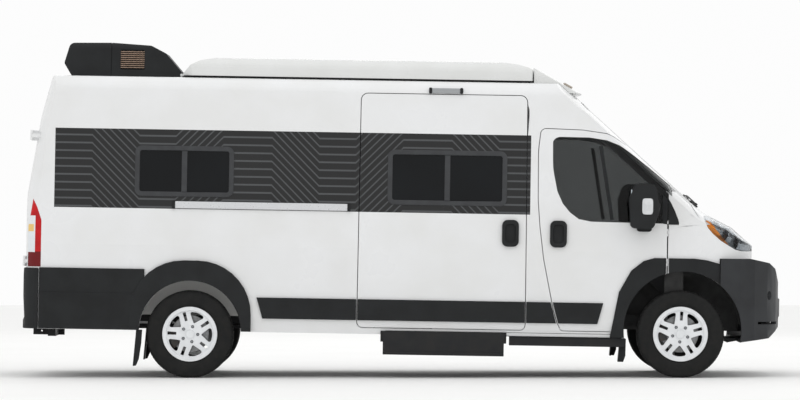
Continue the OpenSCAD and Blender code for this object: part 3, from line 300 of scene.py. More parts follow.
# each finish: two shades, their cloud's size in mm and the second one's most share, roughness from and to,
# a relief's spacing and depth in mm and its strength, and other sockets of the shader
finishes = {
    # orange peel and a little road film under clear coat keep large white panels from looking like paper
    "sprayedWhiteEnamel": dict(shades=("#e5e6e7", "#d8d8d5"), cloud=(420, 0.35), rough=(0.26, 0.36),
        relief=(9, 0.05, 0.12), sockets=coat),
    # gelcoat is a touch warmer and waves gently where the mould did; its shades are painted darker than the
    # body's paint as painted shade
    "mouldedWhiteGelcoat": dict(shades=("#dcdddc", "#cfd0cd"), cloud=(260, 0.35), rough=(0.22, 0.34),
        relief=(60, 0.08, 0.06), sockets=coat),
    # leather-like cells and sun-faded patches take the flatness out of black plastic
    "mouldedBlackPolypropylene": dict(shades=("#1f2021", "#292b2c"), cloud=(180, 0.6), rough=(0.48, 0.62),
        relief=(5, 0.35, 0.35), cells=True, sockets=dull),
    # the bumper's plastic is dyed a shade paler, with the same grain
    "mouldedGreyPolypropylene": dict(shades=("#2f3032", "#3a3c3e"), cloud=(220, 0.6), rough=(0.44, 0.58),
        relief=(5, 0.3, 0.3), cells=True, sockets=dull),
    # soft black with hardly any gleam
    "extrudedSealRubber": dict(shades=("#141414", "#202020"), cloud=(60, 0.6), rough=(0.6, 0.78),
        relief=(3, 0.2, 0.2), sockets=dull),
    # matted fibres swallow the light in the wheel houses
    "pressedWheelHouseFelt": dict(shades=("#3a3a3a", "#2c2c2c"), cloud=(90, 0.7), rough=(0.85, 0.95),
        relief=(6, 0.8, 0.5)),
    # near-black sheet, faint cloud of dust, clean reflection
    "tintedPrivacyGlass": dict(shades=("#0c0e10", "#131619"), cloud=(700, 0.7), rough=(0.02, 0.06),
        sockets={"Specular IOR Level": 0.16}),
    # cab glass lets the seats show darkly
    "smokedCabGlass": dict(shades=("#7d7f7f", "#858787"), cloud=(900, 0.5), rough=(0.0, 0.02),
        sockets={"Transmission Weight": 1.0, "IOR": 1.05, "Coat Weight": 0.25, "Coat Roughness": 0.02}),
    # fired black print, smooth and slightly glossy
    "printedCeramicFrit": dict(shades=("#0c0c0d", "#161617"), cloud=(40, 0.5), rough=(0.15, 0.25)),
    # fine powder texture on dark grey window frames
    "powderCoatedFrameAlloy": dict(shades=("#3c3d3f", "#484a4c"), cloud=(90, 0.5), rough=(0.36, 0.48),
        relief=(2.5, 0.08, 0.2), sockets=dull),
    # short streaks give the rail a broken shine
    "brushedRailAluminium": dict(shades=("#d3d4d6", "#c2c4c6"), cloud=(14, 0.5), rough=(0.25, 0.42),
        metal=0.5),
    # silver paint over a cast wheel: tiny flake, duller in the corners
    "silverPaintedAlloy": dict(shades=("#e6e8ea", "#d2d5d7"), cloud=(60, 0.4), rough=(0.28, 0.4),
        relief=(1.5, 0.02, 0.15), sockets={"Metallic": 0.35, "Coat Weight": 0.4, "Coat Roughness": 0.1}),
    # dry rubber with a brown bloom
    "curedTyreRubber": dict(shades=("#191a1a", "#292827"), cloud=(45, 0.6), rough=(0.62, 0.8),
        relief=(2.2, 0.15, 0.25), sockets=dull),
    # painted steel with dust on it
    "satinBlackSteel": dict(shades=("#232426", "#302f2d"), cloud=(130, 0.5), rough=(0.4, 0.56),
        relief=(4, 0.1, 0.2), sockets={"Metallic": 0.1, "Specular IOR Level": 0.2}),
    # coarse cast skin with a breath of rust
    "sandCastIron": dict(shades=("#58595a", "#6e6259"), cloud=(40, 0.6), rough=(0.6, 0.78),
        relief=(2.5, 0.5, 0.5), metal=0.6),
    # turning marks on bare steel
    "turnedDiscSteel": dict(shades=("#8d8f91", "#746f69"), cloud=(25, 0.5), rough=(0.28, 0.45),
        relief=(1.2, 0.05, 0.2), metal=0.9),
    # pale grey plating, a little blotchy
    "zincPlatedNut": dict(shades=("#9a9da0", "#7f8285"), cloud=(6, 0.5), rough=(0.3, 0.42), metal=0.9),
    # grained soft skin that barely shines
    "slushMouldedDash": dict(shades=("#242528", "#303134"), cloud=(120, 0.5), rough=(0.55, 0.7),
        relief=(3, 0.3, 0.4), cells=True),
    # woven cloth: threads a couple of millimetres apart, soft sheen at grazing angles
    "wovenSeatCloth": dict(shades=("#36383d", "#4a4c52"), cloud=(8, 0.8), rough=(0.85, 0.95),
        relief=(2, 0.4, 0.5), sockets={"Sheen Weight": 0.3}),
    # prism cells inside a glossy red lens
    "mouldedRedAcrylic": dict(shades=("#c40a12", "#9c070e"), cloud=(70, 0.6), rough=(0.08, 0.16),
        relief=(6, 0.4, 0.15), cells=True, sockets=lensSkin),
    # prism cells under smoke-grey acrylic with an amber breath
    "mouldedSmokedLens": dict(shades=("#b7ada1", "#968d83"), cloud=(50, 0.6), rough=(0.08, 0.16),
        relief=(5, 0.4, 0.2), cells=True, sockets=lensSkin),
    # milky side lens over a small reflector
    "mouldedGreyLens": dict(shades=("#d6d8da", "#b9bcbe"), cloud=(40, 0.5), rough=(0.2, 0.3),
        relief=(4, 0.3, 0.2)),
    # lens sheet: clear, only its skin reflects
    "mouldedClearPolycarbonate": dict(shades=("#e9edf0", "#dce2e6"), cloud=(80, 0.5), rough=(0.0, 0.03),
        sockets={"Transmission Weight": 1.0, "IOR": 1.06, "Coat Weight": 0.3, "Coat Roughness": 0.02}),
    # bright film over small facets
    "vacuumMetallisedReflector": dict(shades=("#d5d8dc", "#a9adb3"), cloud=(30, 0.7), rough=(0.08, 0.2),
        relief=(14, 1.2, 0.4), cells=True, metal=0.95),
    # metal film, darker than the bulbs it carries
    "smokedLampHousing": dict(shades=("#a4a7aa", "#6f7376"), cloud=(35, 0.7), rough=(0.12, 0.25),
        relief=(14, 1.0, 0.4), cells=True, metal=0.6),
    # glossy dark trim around the bulbs
    "darkLampBezel": dict(shades=("#16171b", "#2a2c33"), cloud=(25, 0.6), rough=(0.12, 0.25), metal=0.5),
    # clean mirror with a cool tint
    "silveredMirrorGlass": dict(shades=("#c9d2d8", "#bcc6cd"), cloud=(300, 0.4), rough=(0.01, 0.04),
        metal=1.0),
    # thin fins, dulled by weather
    "pressedCopperFin": dict(shades=("#a58d7c", "#84705f"), cloud=(18, 0.7), rough=(0.35, 0.5),
        relief=(3, 0.2, 0.3), metal=0.6),
    # fine dark fins, dusty with flux
    "brazedRadiatorCore": dict(shades=("#222324", "#2f3132"), cloud=(20, 0.6), rough=(0.5, 0.65),
        relief=(4, 1.0, 0.6), metal=0.5)}
finishes["sprayedEnamelWithVinylBand"] = finishes["sprayedWhiteEnamel"]  # the same paint under a printed film
skin = {name: newFinish(name, look) for name, look in finishes.items()}

# charcoal vinyl band: lines of equal height above a zigzag along the van whose peaks and troughs are cut flat
band = {"middle": (-0.9475, 1.685), "half": (1.9575, 0.326), "base": "#0d0e0f", "line": "#484a4c",
        "pitch": 0.065, "width": 0.014, "start": -10.2, "swing": 0.74, "flat": 0.2, "rise": 0.39,
        "skin": 0.02}
bandSteps = (("inX", "COMPARE", "along", band["middle"][0], band["half"][0]),
             ("inZ", "COMPARE", "up", band["middle"][1], band["half"][1]),
             ("above", "SUBTRACT", "up", van["waist"]), ("lean", "MULTIPLY", "above", wallLean),
             ("wall", "ADD", "wide", "lean"),
             ("outer", "GREATER_THAN", "wall", van["halfWidth"] - band["skin"]),
             ("box", "MULTIPLY", "inX", "inZ"), ("inside", "MULTIPLY", "box", "outer"))
lineSteps = (("ahead", "SUBTRACT", "along", band["start"]), ("zig", "PINGPONG", "ahead", band["swing"]),
             ("zag", "SUBTRACT", "zig", band["flat"]), ("trough", "MAXIMUM", "zag", 0.0),
             ("peak", "MINIMUM", "trough", band["rise"]), ("field", "ADD", "up", "peak"),
             ("count", "DIVIDE", "field", band["pitch"]), ("part", "FRACT", "count"),
             ("thin", "LESS_THAN", "part", band["width"] / band["pitch"]),
             ("drawn", "MULTIPLY", "thin", "inside"))
overlay("sprayedEnamelWithVinylBand", bandSteps, "inside", band["base"])
overlay("sprayedEnamelWithVinylBand", bandSteps + lineSteps, "drawn", band["line"])

# tail lamp: darker red below, a clear window at the back and a bulb's glow in it, by x, z and half height
tail = {"darkBelow": 0.99, "clear": (-3.056, 1.135, 0.15), "glow": (-3.068, 1.185, 0.03)}
overlay("mouldedRedAcrylic", (("low", "LESS_THAN", "up", tail["darkBelow"]),), "low", "#6a040b")
for zone, colour in (("clear", "#dfe3e6"), ("glow", "#e6c27a")):
    x, *rows = tail[zone]
    zoneSteps = (("behind", "LESS_THAN", "along", x), ("rows", "COMPARE", "up", *rows),
                 ("shown", "MULTIPLY", "behind", "rows"))
    overlay("mouldedRedAcrylic", zoneSteps, "shown", colour)
# the rear wheel houses are lined in the same felt, painted paler than the front ones as painted light; the
# porch lamp's lens is a cooler grey than those in front
porch = {"x": frontX - 1.959, "half": 0.138, "z": 2.367, "reach": 0.2}
overlay("pressedWheelHouseFelt", (("back", "LESS_THAN", "along", 0.0),), "back", "#d8d8d6")
overlay("mouldedSmokedLens", (("porch", "COMPARE", "along", porch["x"], porch["reach"]),), "porch", "#9c9fa1")
print("finishes made:", len(skin))

# glass, pillars and window edges of these nodes move forward to the windshield's own angle
reshape = {"low": 1.28, "lowFade": 0.02, "cuts": (1.3, 2.27, 0.04), "topFade": 0.05, "pillar": 0.035,
           "full": 0.1, "fade": 0.55, "paired": ("side", "door", "door_glass", "door_trim")}
reshapedNodes = ["windshield"] + [n + "_" + s for n in reshape["paired"] for s in sides]


def sliced(bm):
    # cuts at even heights, so that long pillar faces can bend
    for height in np.arange(*reshape["cuts"]):
        parts = bm.verts[:] + bm.edges[:] + bm.faces[:]
        spot, normal = toRow((0, 0, height)).tolist(), toRow((0, 0, 1)).tolist()
        bmesh.ops.bisect_plane(bm, geom=parts, plane_co=spot, plane_no=normal)


def movedForward(points, isDoor):
    # the shift is the difference of the two planes and of the two bows; it fades out behind the pillars by a
    # smooth step, and doors stop at their shut line
    x, y, z = np.moveaxis(toRow(points, -1), -1, 0)
    planes = [at[0] - (z - at[1]) / math.tan(math.radians(tilt)) for at, tilt in screenLines]
    old = np.minimum.reduce(planes) - bowAt(solidBow, y)
    shift = (screenX(y, z) - old) * ramp(headerFoot - z, reshape["topFade"])
    if isDoor:
        limit = shutLine - old + reshape["pillar"]
        shift = np.clip(np.minimum(shift, limit), 0, None) * (z > reshape["cuts"][0])
    behind = ramp(old - x - reshape["full"], reshape["fade"])
    shift = shift * (1 - behind * behind * (3 - 2 * behind)) * ramp(z - reshape["low"], reshape["lowFade"])
    return toRow(np.stack([x + shift, y, z], -1))


def dressed(nodeName, finish, bevelMm, sharpDeg):
    # merged copy of a CAD node: doubles joined, flat faces dissolved, edges broken by a small bevel
    bm = bmesh.new()
    bm.from_mesh(frame["nodes"][nodeName].data)
    bmesh.ops.remove_doubles(bm, verts=bm.verts, dist=2e-5)
    bmesh.ops.dissolve_limit(bm, angle_limit=math.radians(0.4), verts=bm.verts, edges=bm.edges)
    if nodeName in reshapedNodes:
        sliced(bm)
    mesh = bpy.data.meshes.new(nodeName + "_dressed")
    bm.to_mesh(mesh)
    bm.free()
    if nodeName in reshapedNodes:
        mesh.vertices.foreach_set("co", movedForward(pointsOf(mesh), nodeName.startswith("door")).ravel())
        mesh.update()
    piece = newObject(nodeName + "_dressed", mesh)
    mesh.materials.append(skin[finish])
    smoothed(mesh, sharpDeg)
    if bevelMm:
        b = piece.modifiers.new("broken edge", "BEVEL")
        b.width, b.segments = bevelMm / 1000, 2
        b.limit_method, b.angle_limit = "ANGLE", math.radians(sharpDeg)
        b.use_clamp_overlap, b.miter_outer = True, "MITER_ARC"
    w = piece.modifiers.new("weighted normals", "WEIGHTED_NORMAL")
    w.keep_sharp, w.weight = True, 80
    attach(piece, next(k for k, v in frame["record"]["behaviour"]["bodies"].items() if nodeName in v))
    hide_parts(nodeName)


# finish and edge radius in mm for each node, or for its right and left ones
dressing = {
    "sprayedEnamelWithVinylBand": {"side": 3, "sliding_door": 4},
    "sprayedWhiteEnamel": {"roof": 3, "front_end": 3, "hood": 5, "door": 4, "rear_door": 4},
    "mouldedWhiteGelcoat": {"pop_top": 8, "roof_cap": 6},
    "smokedCabGlass": {"windshield": 1, "door_glass": 1},
    "tintedPrivacyGlass": {"rear_glass": 1, "window_panes": 1},
    "powderCoatedFrameAlloy": {"window_frames": 4},
    "mouldedGreyPolypropylene": {"bumper_front": 24},
    "mouldedBlackPolypropylene": {"bumper_rear": 8, "cladding": 5, "door_trim": 5, "mirror": 18,
                                  "air_conditioner": 14, "tanks": 20},
    "mouldedClearPolycarbonate": {"headlamps": 2},
    "mouldedRedAcrylic": {"tail_lamps": 4},
    "mouldedSmokedLens": {"roof_lamps": 5},
    "brushedRailAluminium": {"door_rail": 4},
    "extrudedSealRubber": {"roof_seal": 2},
    "pressedWheelHouseFelt": {"liners": 0},
    "satinBlackSteel": {"floor": 0, "chassis": 3, "hitch": 2, "rear_axle": 2, "entry_step": 4},
    "sandCastIron": {"engine": 8, "exhaust": 2, "knuckle": 2},
    "slushMouldedDash": {"dashboard": 12, "steering_wheel": 2},
    "silverPaintedAlloy": {"rim_front": 3, "rim_rear": 3}}
softEdged = {"bumper_front": 64}  # edges flatter than this many degrees stay smooth
for finish, nodes in dressing.items():
    for stem, bevelMm in nodes.items():
        for nodeName in [stem + end for end in ("", "_right", "_left") if stem + end in frame["nodes"]]:
            dressed(nodeName, finish, bevelMm, softEdged.get(stem, 38))
print("nodes dressed")

# tyres: half a section from bead to tread, turned; grooves run round the tread and cross its shoulders
tyre = {"outer": 0.36, "steps": 576, "blocks": 72, "groove": 0.008, "grooveAcross": (0.064, 0.022),
        "grooveHalf": 0.0046, "shoulder": 0.0665, "treadFrom": 0.345, "slotHalf": 0.16, "sipeHalf": 0.07,
        "sipeShare": 0.45, "ribs": 144, "ribAt": 0.34, "ribHigh": 0.0008, "ringsAt": (0.268, 0.312),
        "ringHigh": 0.0007}
tyreSection = np.array([[0.216, 0.07], [0.216, 0.0885], [0.228, 0.0895], [0.234, 0.096], [0.244, 0.1065],
                        [0.262, 0.111], [0.286, 0.1125], [0.304, 0.1118], [0.32, 0.1095], [0.336, 0.1055],
                        [0.346, 0.1], [0.3535, 0.092], [0.357, 0.084], [0.359, 0.076], [0.3597, 0.07]])
treadAcross = np.concatenate([[0.0697, 0.0683, 0.0655, 0.06, 0.0585], np.linspace(0.05, 0.0265, 4),
                              [0.0262, 0.025, 0.019, 0.0178, 0.01, 0.0]])
# each wheel's axle, side and how far it is turned in degrees
corners = {end + "_" + s: (van[end + "Axle"], -flip[1], turnDeg)
           for end, turnDeg in (("front", -4), ("rear", 15)) for s, flip in sides.items()}


def atWheel(grid, corner):
    # wheel coordinates (radius plane, outwards) set at a hub; the left side is a mirror image
    x, side, turnDeg = corners[corner]
    c, s = math.cos(math.radians(turnDeg)), math.sin(math.radians(turnDeg))
    u, v, h = np.moveaxis(np.asarray(grid, float), -1, 0)
    return onGrid(x + u * c - v * s, side * (van["wheelAcross"] + h), van["axleHeight"] + u * s + v * c)


def tyreGrid():
    # radius and half width along the section, less a dip where a groove, cross slot or sipe lies in the tread
    flat = np.stack(np.broadcast_arrays(tyre["outer"], treadAcross), -1)
    half = np.concatenate([tyreSection, flat])
    section = np.concatenate([half, half[-2::-1] * [1, -1]])
    t = around(tyre["steps"])[None]
    r, w = section[:, :1], section[:, 1:]
    inner = np.abs(w)
    ring = sum(ramp(tyre["grooveHalf"] - np.abs(inner - at), 0.0012) for at in tyre["grooveAcross"])
    phase = (t * tyre["blocks"] / (2 * np.pi) + 6.0 * w + 0.18 * np.sin(90 * w)) % 1.0
    slot = ramp(tyre["slotHalf"] - np.abs(phase - 0.5), 0.03) * ramp(inner - tyre["shoulder"], 0.002)
    sipe = ramp(tyre["sipeHalf"] - np.abs((2 * phase) % 1.0 - 0.5), 0.03) * tyre["sipeShare"]
    sipe = sipe * ramp(tyre["shoulder"] - inner, 0.002)
    cut = np.maximum(np.maximum(ring, slot), sipe)
    radius = r - tyre["groove"] * ramp(r - tyre["treadFrom"], 0.012) * np.clip(cut, 0, 1)
    ribs = tyre["ribHigh"] * np.sin(t * tyre["ribs"]) * np.clip(1 - np.abs(r - tyre["ribAt"]) / 0.006, 0, 1)
    rings = tyre["ringHigh"] * sum(np.clip(1 - np.abs(r - at) / 0.002, 0, 1) for at in tyre["ringsAt"])
    return onGrid(radius * np.cos(t), radius * np.sin(t), w + np.sign(w) * (rings + ribs))


tyreMade = tyreGrid()
# wheel fittings as radius and distance outwards: hexagon nuts with rounded ends, a dished cap, a valve,
# a vented brake disc and a caliper that reaches round its rim
fittings = {"boltRadius": 0.065, "nuts": 5, "firstNutDeg": 54, "discBack": -0.038, "discFront": -0.012}
nut = turned([[0.0125, 0.06], [0.0125, 0.062], [0.0105, 0.063], [0.0105, 0.076], [0.0085, 0.0795],
              [0.003, 0.081]], 6)
nutTurns = np.radians(fittings["firstNutDeg"] + 360 / fittings["nuts"] * np.arange(fittings["nuts"]))
nutSpots = fittings["boltRadius"] * onGrid(np.cos(nutTurns), np.sin(nutTurns), 0)
capGrid = turned([[0.0385, 0.07], [0.0385, 0.0825], [0.037, 0.0855], [0.033, 0.0865], [0.031, 0.0845],
                  [0.026, 0.0845], [0.012, 0.0862], [0.004, 0.0866]], 48)
valve = swept([[0.15, 0.11, 0.03], [0.148, 0.109, 0.05], [0.146, 0.107, 0.062]], 0.008, 0.008, 2, 12)
discGrid = turned([[0.086, fittings["discBack"]], [0.152, fittings["discBack"]], [0.155, -0.036],
                   [0.155, -0.03], [0.15, -0.029], [0.15, -0.021], [0.155, -0.02], [0.155, -0.014],
                   [0.152, fittings["discFront"]], [0.088, fittings["discFront"]], [0.086, -0.016]], 96)
caliper = turned([[0.118, -0.064], [0.172, -0.064], [0.178, -0.058], [0.178, 0.01], [0.172, 0.016],
                  [0.118, 0.016], [0.114, 0.012], [0.114, -0.006], [0.16, -0.006], [0.16, -0.044],
                  [0.114, -0.044], [0.114, -0.06]], 160)
caliper = np.swapaxes(caliper[:, 68:93], 0, 1)  # the stretch behind the axle
# grids, finish, slot, smooth angle and whether the rows close
wheelParts = {"tyre_tread": ([tyreMade], "curedTyreRubber", "tyre", 40, True),
              "lug_nuts": ([nut + spot for spot in nutSpots], "zincPlatedNut", "silver_alloy", 30, False),
              "centre_cap": ([capGrid, valve], "silverPaintedAlloy", "silver_alloy", 40, False),
              "brake_disc": ([discGrid], "turnedDiscSteel", "cast_metal", 30, True),
              "brake_caliper": ([caliper], "sandCastIron", "cast_metal", 35, False)}
for corner in corners:
    holder = "knuckle_" + corner.split("_")[1] if corner.startswith("front") else "body"
    for key, (grids, finish, *rest) in wheelParts.items():
        body = holder if key == "brake_caliper" else "wheel_" + corner
        onHub = [atWheel(g, corner) for g in grids]
        piece = addPiece(key + "_" + corner, onHub, finish, body, *rest, raked=False)
        if key == "tyre_tread":
            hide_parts("tyre_" + corner)
print("wheels made")

# headlamp: a metallised housing behind the clear lens, amber at its rear and lower edge, with two dark bowls
lamp = {"from": 0.195, "long": 0.385, "inset": 0.05, "under": 0.018, "dish": 0.03, "rows": 24,
        "columns": 40, "amber": "#f08a1c", "amberSlope": 0.82, "amberBehind": frontX + 1.318,
        "bowls": (((frontX + 0.43, -0.865, 1.158), (0.62, -0.78, 0), 1.0),
                  ((frontX + 0.35, -0.925, 1.222), (0.5, -0.86, 0), 0.8))}
lampLow = np.array([[0.179, 1.373], [0.185, 1.332], [0.211, 1.275], [0.252, 1.227], [0.319, 1.17],
                    [0.386, 1.13], [0.444, 1.098], [0.502, 1.085], [0.6, 1.085]])  # ahead of the axle, height
noseSide = np.array([[0.15, 0.0], [0.33, 0.02], [0.42, 0.06], [0.5, 0.135], [0.555, 0.24], [0.6, 0.42]])
amberSteps = (("slant", "MULTIPLY", "up", lamp["amberSlope"]), ("cut", "ADD", "along", "slant"),
              ("aft", "LESS_THAN", "cut", lamp["amberBehind"]))
overlay("smokedLampHousing", amberSteps, "aft", lamp["amber"])


def lampHousing():
    # forward along the nose and up from the lens's lower edge to the hood line, drawn in and dished
    s = np.linspace(0, 1, lamp["columns"])[None]
    v = np.linspace(0, 1, lamp["rows"])[:, None]
    x = frontX + lamp["from"] + lamp["long"] * s
    y = -van["halfWidth"] + np.interp(x - frontX, noseSide[:, 0], noseSide[:, 1]) + lamp["inset"]
    low = np.interp(x - frontX, lampLow[:, 0], lampLow[:, 1]) + 0.006
    bow = bowAt(frontBow, y)
    tops = [at[1] - (x + bow - at[0]) * math.tan(math.radians(tilt)) for at, tilt in hoodLines]
    top = np.maximum(np.minimum.reduce(tops) - lamp["under"], low + 0.004)
    dish = lamp["dish"] * np.sin(np.pi * v) * np.sin(np.pi * s)
    return onGrid(x - 0.5 * dish, y + dish, low + (top - low) * v)


housing = lampHousing()
bowlGrid = turned([[0.056, 0.004], [0.06, 0.0], [0.056, -0.003], [0.048, -0.014], [0.034, -0.028],
                   [0.016, -0.036], [0.002, -0.037]], 48)
bulbGrid = turned([[0.016, -0.036], [0.016, -0.02], [0.014, -0.012], [0.009, -0.007], [0.002, -0.005]], 32)
bowls = [placed(bowlGrid * size, spot, aim, (0, 0, 1)) for spot, aim, size in lamp["bowls"]]
bulbs = [placed(bulbGrid, spot, aim, (0, 0, 1)) for spot, aim, size in lamp["bowls"]]
lampParts = {"housing": ([housing], "smokedLampHousing", 2.0),
             "bulbs": (bulbs, "vacuumMetallisedReflector", 0.0),
             "bowls": (bowls, "darkLampBezel", 0.0)}  # grids, finish, thickness of a sheet
for sideName, flip in sides.items():
    for key, (grids, finish, sheetMm) in lampParts.items():
        here = [g * flip for g in grids]
        addPiece("lamp_" + key + "_" + sideName, here, finish, "body", "lamp_clear", 50, sheetMm=sheetMm)
print("headlamps made")

blackTrim = ("mouldedBlackPolypropylene", "body", "black_plastic")

# wipers parked low on the glass: a blade with its rail that follows the bow, and an arm from a spindle
wiper = {"middles": (-0.36, 0.3), "rest": 1.515, "lift": 0.012, "bladeFrom": -0.26, "bladeLong": 0.6,
         "spindle": -0.22, "spindleUp": 1.468, "armLong": 0.26, "armRise": 0.072}
hub = turned([[0.013, -0.012], [0.013, 0.004], [0.01, 0.008], [0.003, 0.009]], 24)
wiperGrids = []
for middle in wiper["middles"]:
    t = np.linspace(0, 1, 24)
    y = middle + wiper["bladeFrom"] + wiper["bladeLong"] * t
    z = wiper["rest"] + 0.05 * t - 0.02 * t * t
    blade = np.stack([screenX(y, z, wiper["lift"] - 0.004), y, z], -1)
    rail = np.stack([screenX(y, z - 0.004, wiper["lift"] + 0.002), y, z - 0.004], -1)[4:20]
    wiperGrids += [swept(blade, 0.007, 0.01, 3, 12), swept(rail, 0.008, 0.008, 2, 12)]
    t = np.linspace(0, 1, 14)
    foot = middle + wiper["spindle"]
    y = foot + wiper["armLong"] * t
    z = wiper["spindleUp"] + wiper["armRise"] * np.sin(0.5 * np.pi * t)
    wiperGrids.append(swept(np.stack([screenX(y, z, 0.017 - 0.003 * t), y, z], -1), 0.014, 0.007, 3, 12))
    hubPlace = (screenX(foot, wiper["spindleUp"], 0.016), foot, wiper["spindleUp"])
    wiperGrids.append(placed(hub, hubPlace, (0, 1, 0), (-0.75, 0, 0.66)))
addPiece("wipers", wiperGrids, "satinBlackSteel", "body", "black_plastic", 40)

# black printed border of the windshield: a ring between the outline and its inset, just under the outer face
frit = {"bottom": 1.482, "top": 2.292, "halfLow": 0.8265, "halfTop": 0.7715, "border": 0.045, "lift": -0.0022}
loop = superLoop(2.0, 2.0, 14, 160)
up = (loop[:, 1] + 1) / 2
tall = frit["top"] - frit["bottom"]
ringRows = []
for inset in np.array([0.0, 0.5, 1.0]) * frit["border"]:
    z = frit["bottom"] + inset + up * (tall - 2 * inset)
    half = frit["halfLow"] + (frit["halfTop"] - frit["halfLow"]) * (z - frit["bottom"]) / tall - inset
    y = loop[:, 0] * half
    ringRows.append(np.stack([screenX(y, z, frit["lift"]), y, z], -1))
ringRows = np.array(ringRows)
fritGrid = np.concatenate([ringRows, (ringRows - [0.0004, 0, 0.0003])[::-1]])
addPiece("windshield_frit", [fritGrid], "printedCeramicFrit", "body", "clear_glass", 60, ring=True)

# mirrors: a convex silvered glass in the back of the case and a milky side lens
mirror = {"glass": (0.118, 0.262), "glassAt": (frontX - 0.426, -1.161, 1.4525), "lens": (0.088, 0.132),
          "lensAt": (frontX - 0.2975, -1.2468, 1.443)}
glassPlate = plate(mirror["glass"], 5, 48, 0.006, 0.002, 0.006)
glassGrid = placed(glassPlate, mirror["glassAt"], (0, -1, 0), (0, 0, 1))
lensPlate = plate(mirror["lens"], 5, 48, 0.004, 0.0015, 0.003)
lensGrid = placed(lensPlate, mirror["lensAt"], (1, 0, 0), (0, 0, 1))
for sideName, flip in sides.items():
    door = "door_" + sideName
    addPiece("mirror_glass_" + sideName, [glassGrid * flip], "silveredMirrorGlass", door, "clear_glass", 40)
    addPiece("mirror_lens_" + sideName, [lensGrid * flip], "mouldedGreyLens", door, "lamp_clear", 40)

# air conditioner: pressed copper fins, slightly waved, over its side slats
cooler = {"rear": rearX - 0.639, "front": rearX - 0.441, "low": 2.514, "high": 2.6793, "slats": 9,
          "half": 0.345, "lean": 30 / 285, "inside": 0.015}
finGrids = []
for k in range(1, cooler["slats"] + 1):
    z = cooler["low"] + (cooler["high"] - cooler["low"]) * k / (cooler["slats"] + 1)
    y = cooler["half"] - (z - van["roof"]) * cooler["lean"] - cooler["inside"]
    x = np.linspace(cooler["rear"], cooler["front"], 60)
    finGrids.append(swept(onGrid(x, -y, z + 0.0012 * np.sin(x * 260)), 0.02, 0.0085, 4, 16))
addPiece("cooler_fins", bothSides(*finGrids), "pressedCopperFin", "body", "cast_metal", 40)

# grille: upright bars behind the slats, a finned radiator behind them, and fog lamps with domed lenses
grille = {"nose": frontX + 0.868, "half": 0.5, "low": 0.705, "high": 0.885, "bars": 34, "barsBack": 0.108,
          "coreLow": 0.4, "coreBack": 0.175, "fogs": (0.82, 0.724), "fogsBack": 0.176}
barGrids = []
for y in np.linspace(-grille["half"], grille["half"], grille["bars"]):
    z = np.linspace(grille["low"] - 0.01, grille["high"] + 0.01, 6)
    barGrids.append(swept(onGrid(grille["nose"] - grille["barsBack"], y, z), 0.008, 0.01, 3, 8))
addPiece("grille_bars", barGrids, *blackTrim, 40)
y = np.linspace(-grille["half"], grille["half"], 241)[None]
z = np.linspace(grille["coreLow"], grille["high"], 25)[:, None]
core = onGrid(grille["nose"] - grille["coreBack"] + 0.004 * np.sin(y * 700) * np.cos(z * 40), y, z)
addPiece("radiator_core", [core], "brazedRadiatorCore", "body", "dark_metal", 80, sheetMm=6.0)
fogLens = turned([[0.034, -0.004], [0.036, 0.0], [0.035, 0.004], [0.03, 0.009], [0.018, 0.013],
                  [0.006, 0.0145]], 40)
fogY, fogZ = grille["fogs"]
fogSpots = [(grille["nose"] - grille["fogsBack"], y, fogZ) for y in (-fogY, fogY)]
fogs = [placed(fogLens, spot, (0, 1, 0), (0, 0, 1)) for spot in fogSpots]
addPiece("fog_lamps", fogs, "vacuumMetallisedReflector", "body", "lamp_clear", 50)
print("front made")

# cowl: a slotted panel on the glass plane between hood and glass
cowl = {"low": 1.448, "high": 1.498, "half": 0.718, "lift": 0.01, "slotDeep": 0.004}
y = np.linspace(-cowl["half"], cowl["half"], 181)[None]
z = np.linspace(cowl["low"], cowl["high"], 14)[:, None]
rise = (z - cowl["low"]) / (cowl["high"] - cowl["low"])
slots = cowl["slotDeep"] * np.clip(np.sin(y * 420), 0, 1) * np.sin(np.pi * rise)
cowlGrid = onGrid(screenX(y, z, cowl["lift"]) - slots, y, z)
cowlPanel = addPiece("cowl_panel", [cowlGrid], *blackTrim, 60, sheetMm=6.0)
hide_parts("cowl")

# cab window: white foot and black corner ahead of the door, the door's own corner and the bar over its glass;
# outline in mm ahead of the axle and in height, thickness, and how far it stands out
cabWindow = {
    "foot": ([[-114, 1290], [40, 1290], [75, 1386], [12, 1438], [-85, 1526], [-114, 1551]], 0.034, -0.001),
    "pillar": ([[-114, 1296], [-30, 1296], [-26, 1306], [-34, 1340], [-62, 1410], [-96, 1478], [-114, 1508]],
               0.034, 0.003),
    "door": ([[-164, 1304], [-123, 1298], [-123, 1500], [-164, 1546]], 0.01, 0.003),
    "bar": ([[-592, 1327], [-562, 1327], [-664, 1935], [-694, 1935]], 0.006, 0.002)}
for sideName, flip in sides.items():
    for key, (outline, thick, out) in cabWindow.items():
        rows, (x, z) = layered(outline, frontX, ((1.0, -thick), (1.0, out - 0.002), (0.975, out), (0.5, out)))
        grid = placed(rows, (x, -wallAcross(z), z), (1, 0, 0), (0, wallLean, 1)) * flip
        finish, slot = "mouldedBlackPolypropylene", "black_plastic"
        if key == "foot":
            finish, slot = "sprayedWhiteEnamel", "white_paint"
        body = "body" if key in ("foot", "pillar") else "door_" + sideName
        addPiece("window_" + key + "_" + sideName, [grid], finish, body, slot, 30)

# pillar feet: the cab's front face carried down beside glass and cowl; across and height, from and to
pillarFeet = {"pillar_foot": (0.826, 1.014, 1.34, 1.57), "cowl_end": (0.7, 0.832, 1.36, 1.478)}
for name, (y0, y1, z0, z1) in pillarFeet.items():
    y = -np.linspace(y0, y1, 25)[None]
    z = np.linspace(z0, z1, 21)[:, None]
    face = onGrid(screenX(y, z, -0.004), y * np.minimum(1, wallAcross(z) / 1.0165), z)
    addPiece(name, bothSides(face), "sprayedWhiteEnamel", "body", "white_paint", 60, sheetMm=4.0)
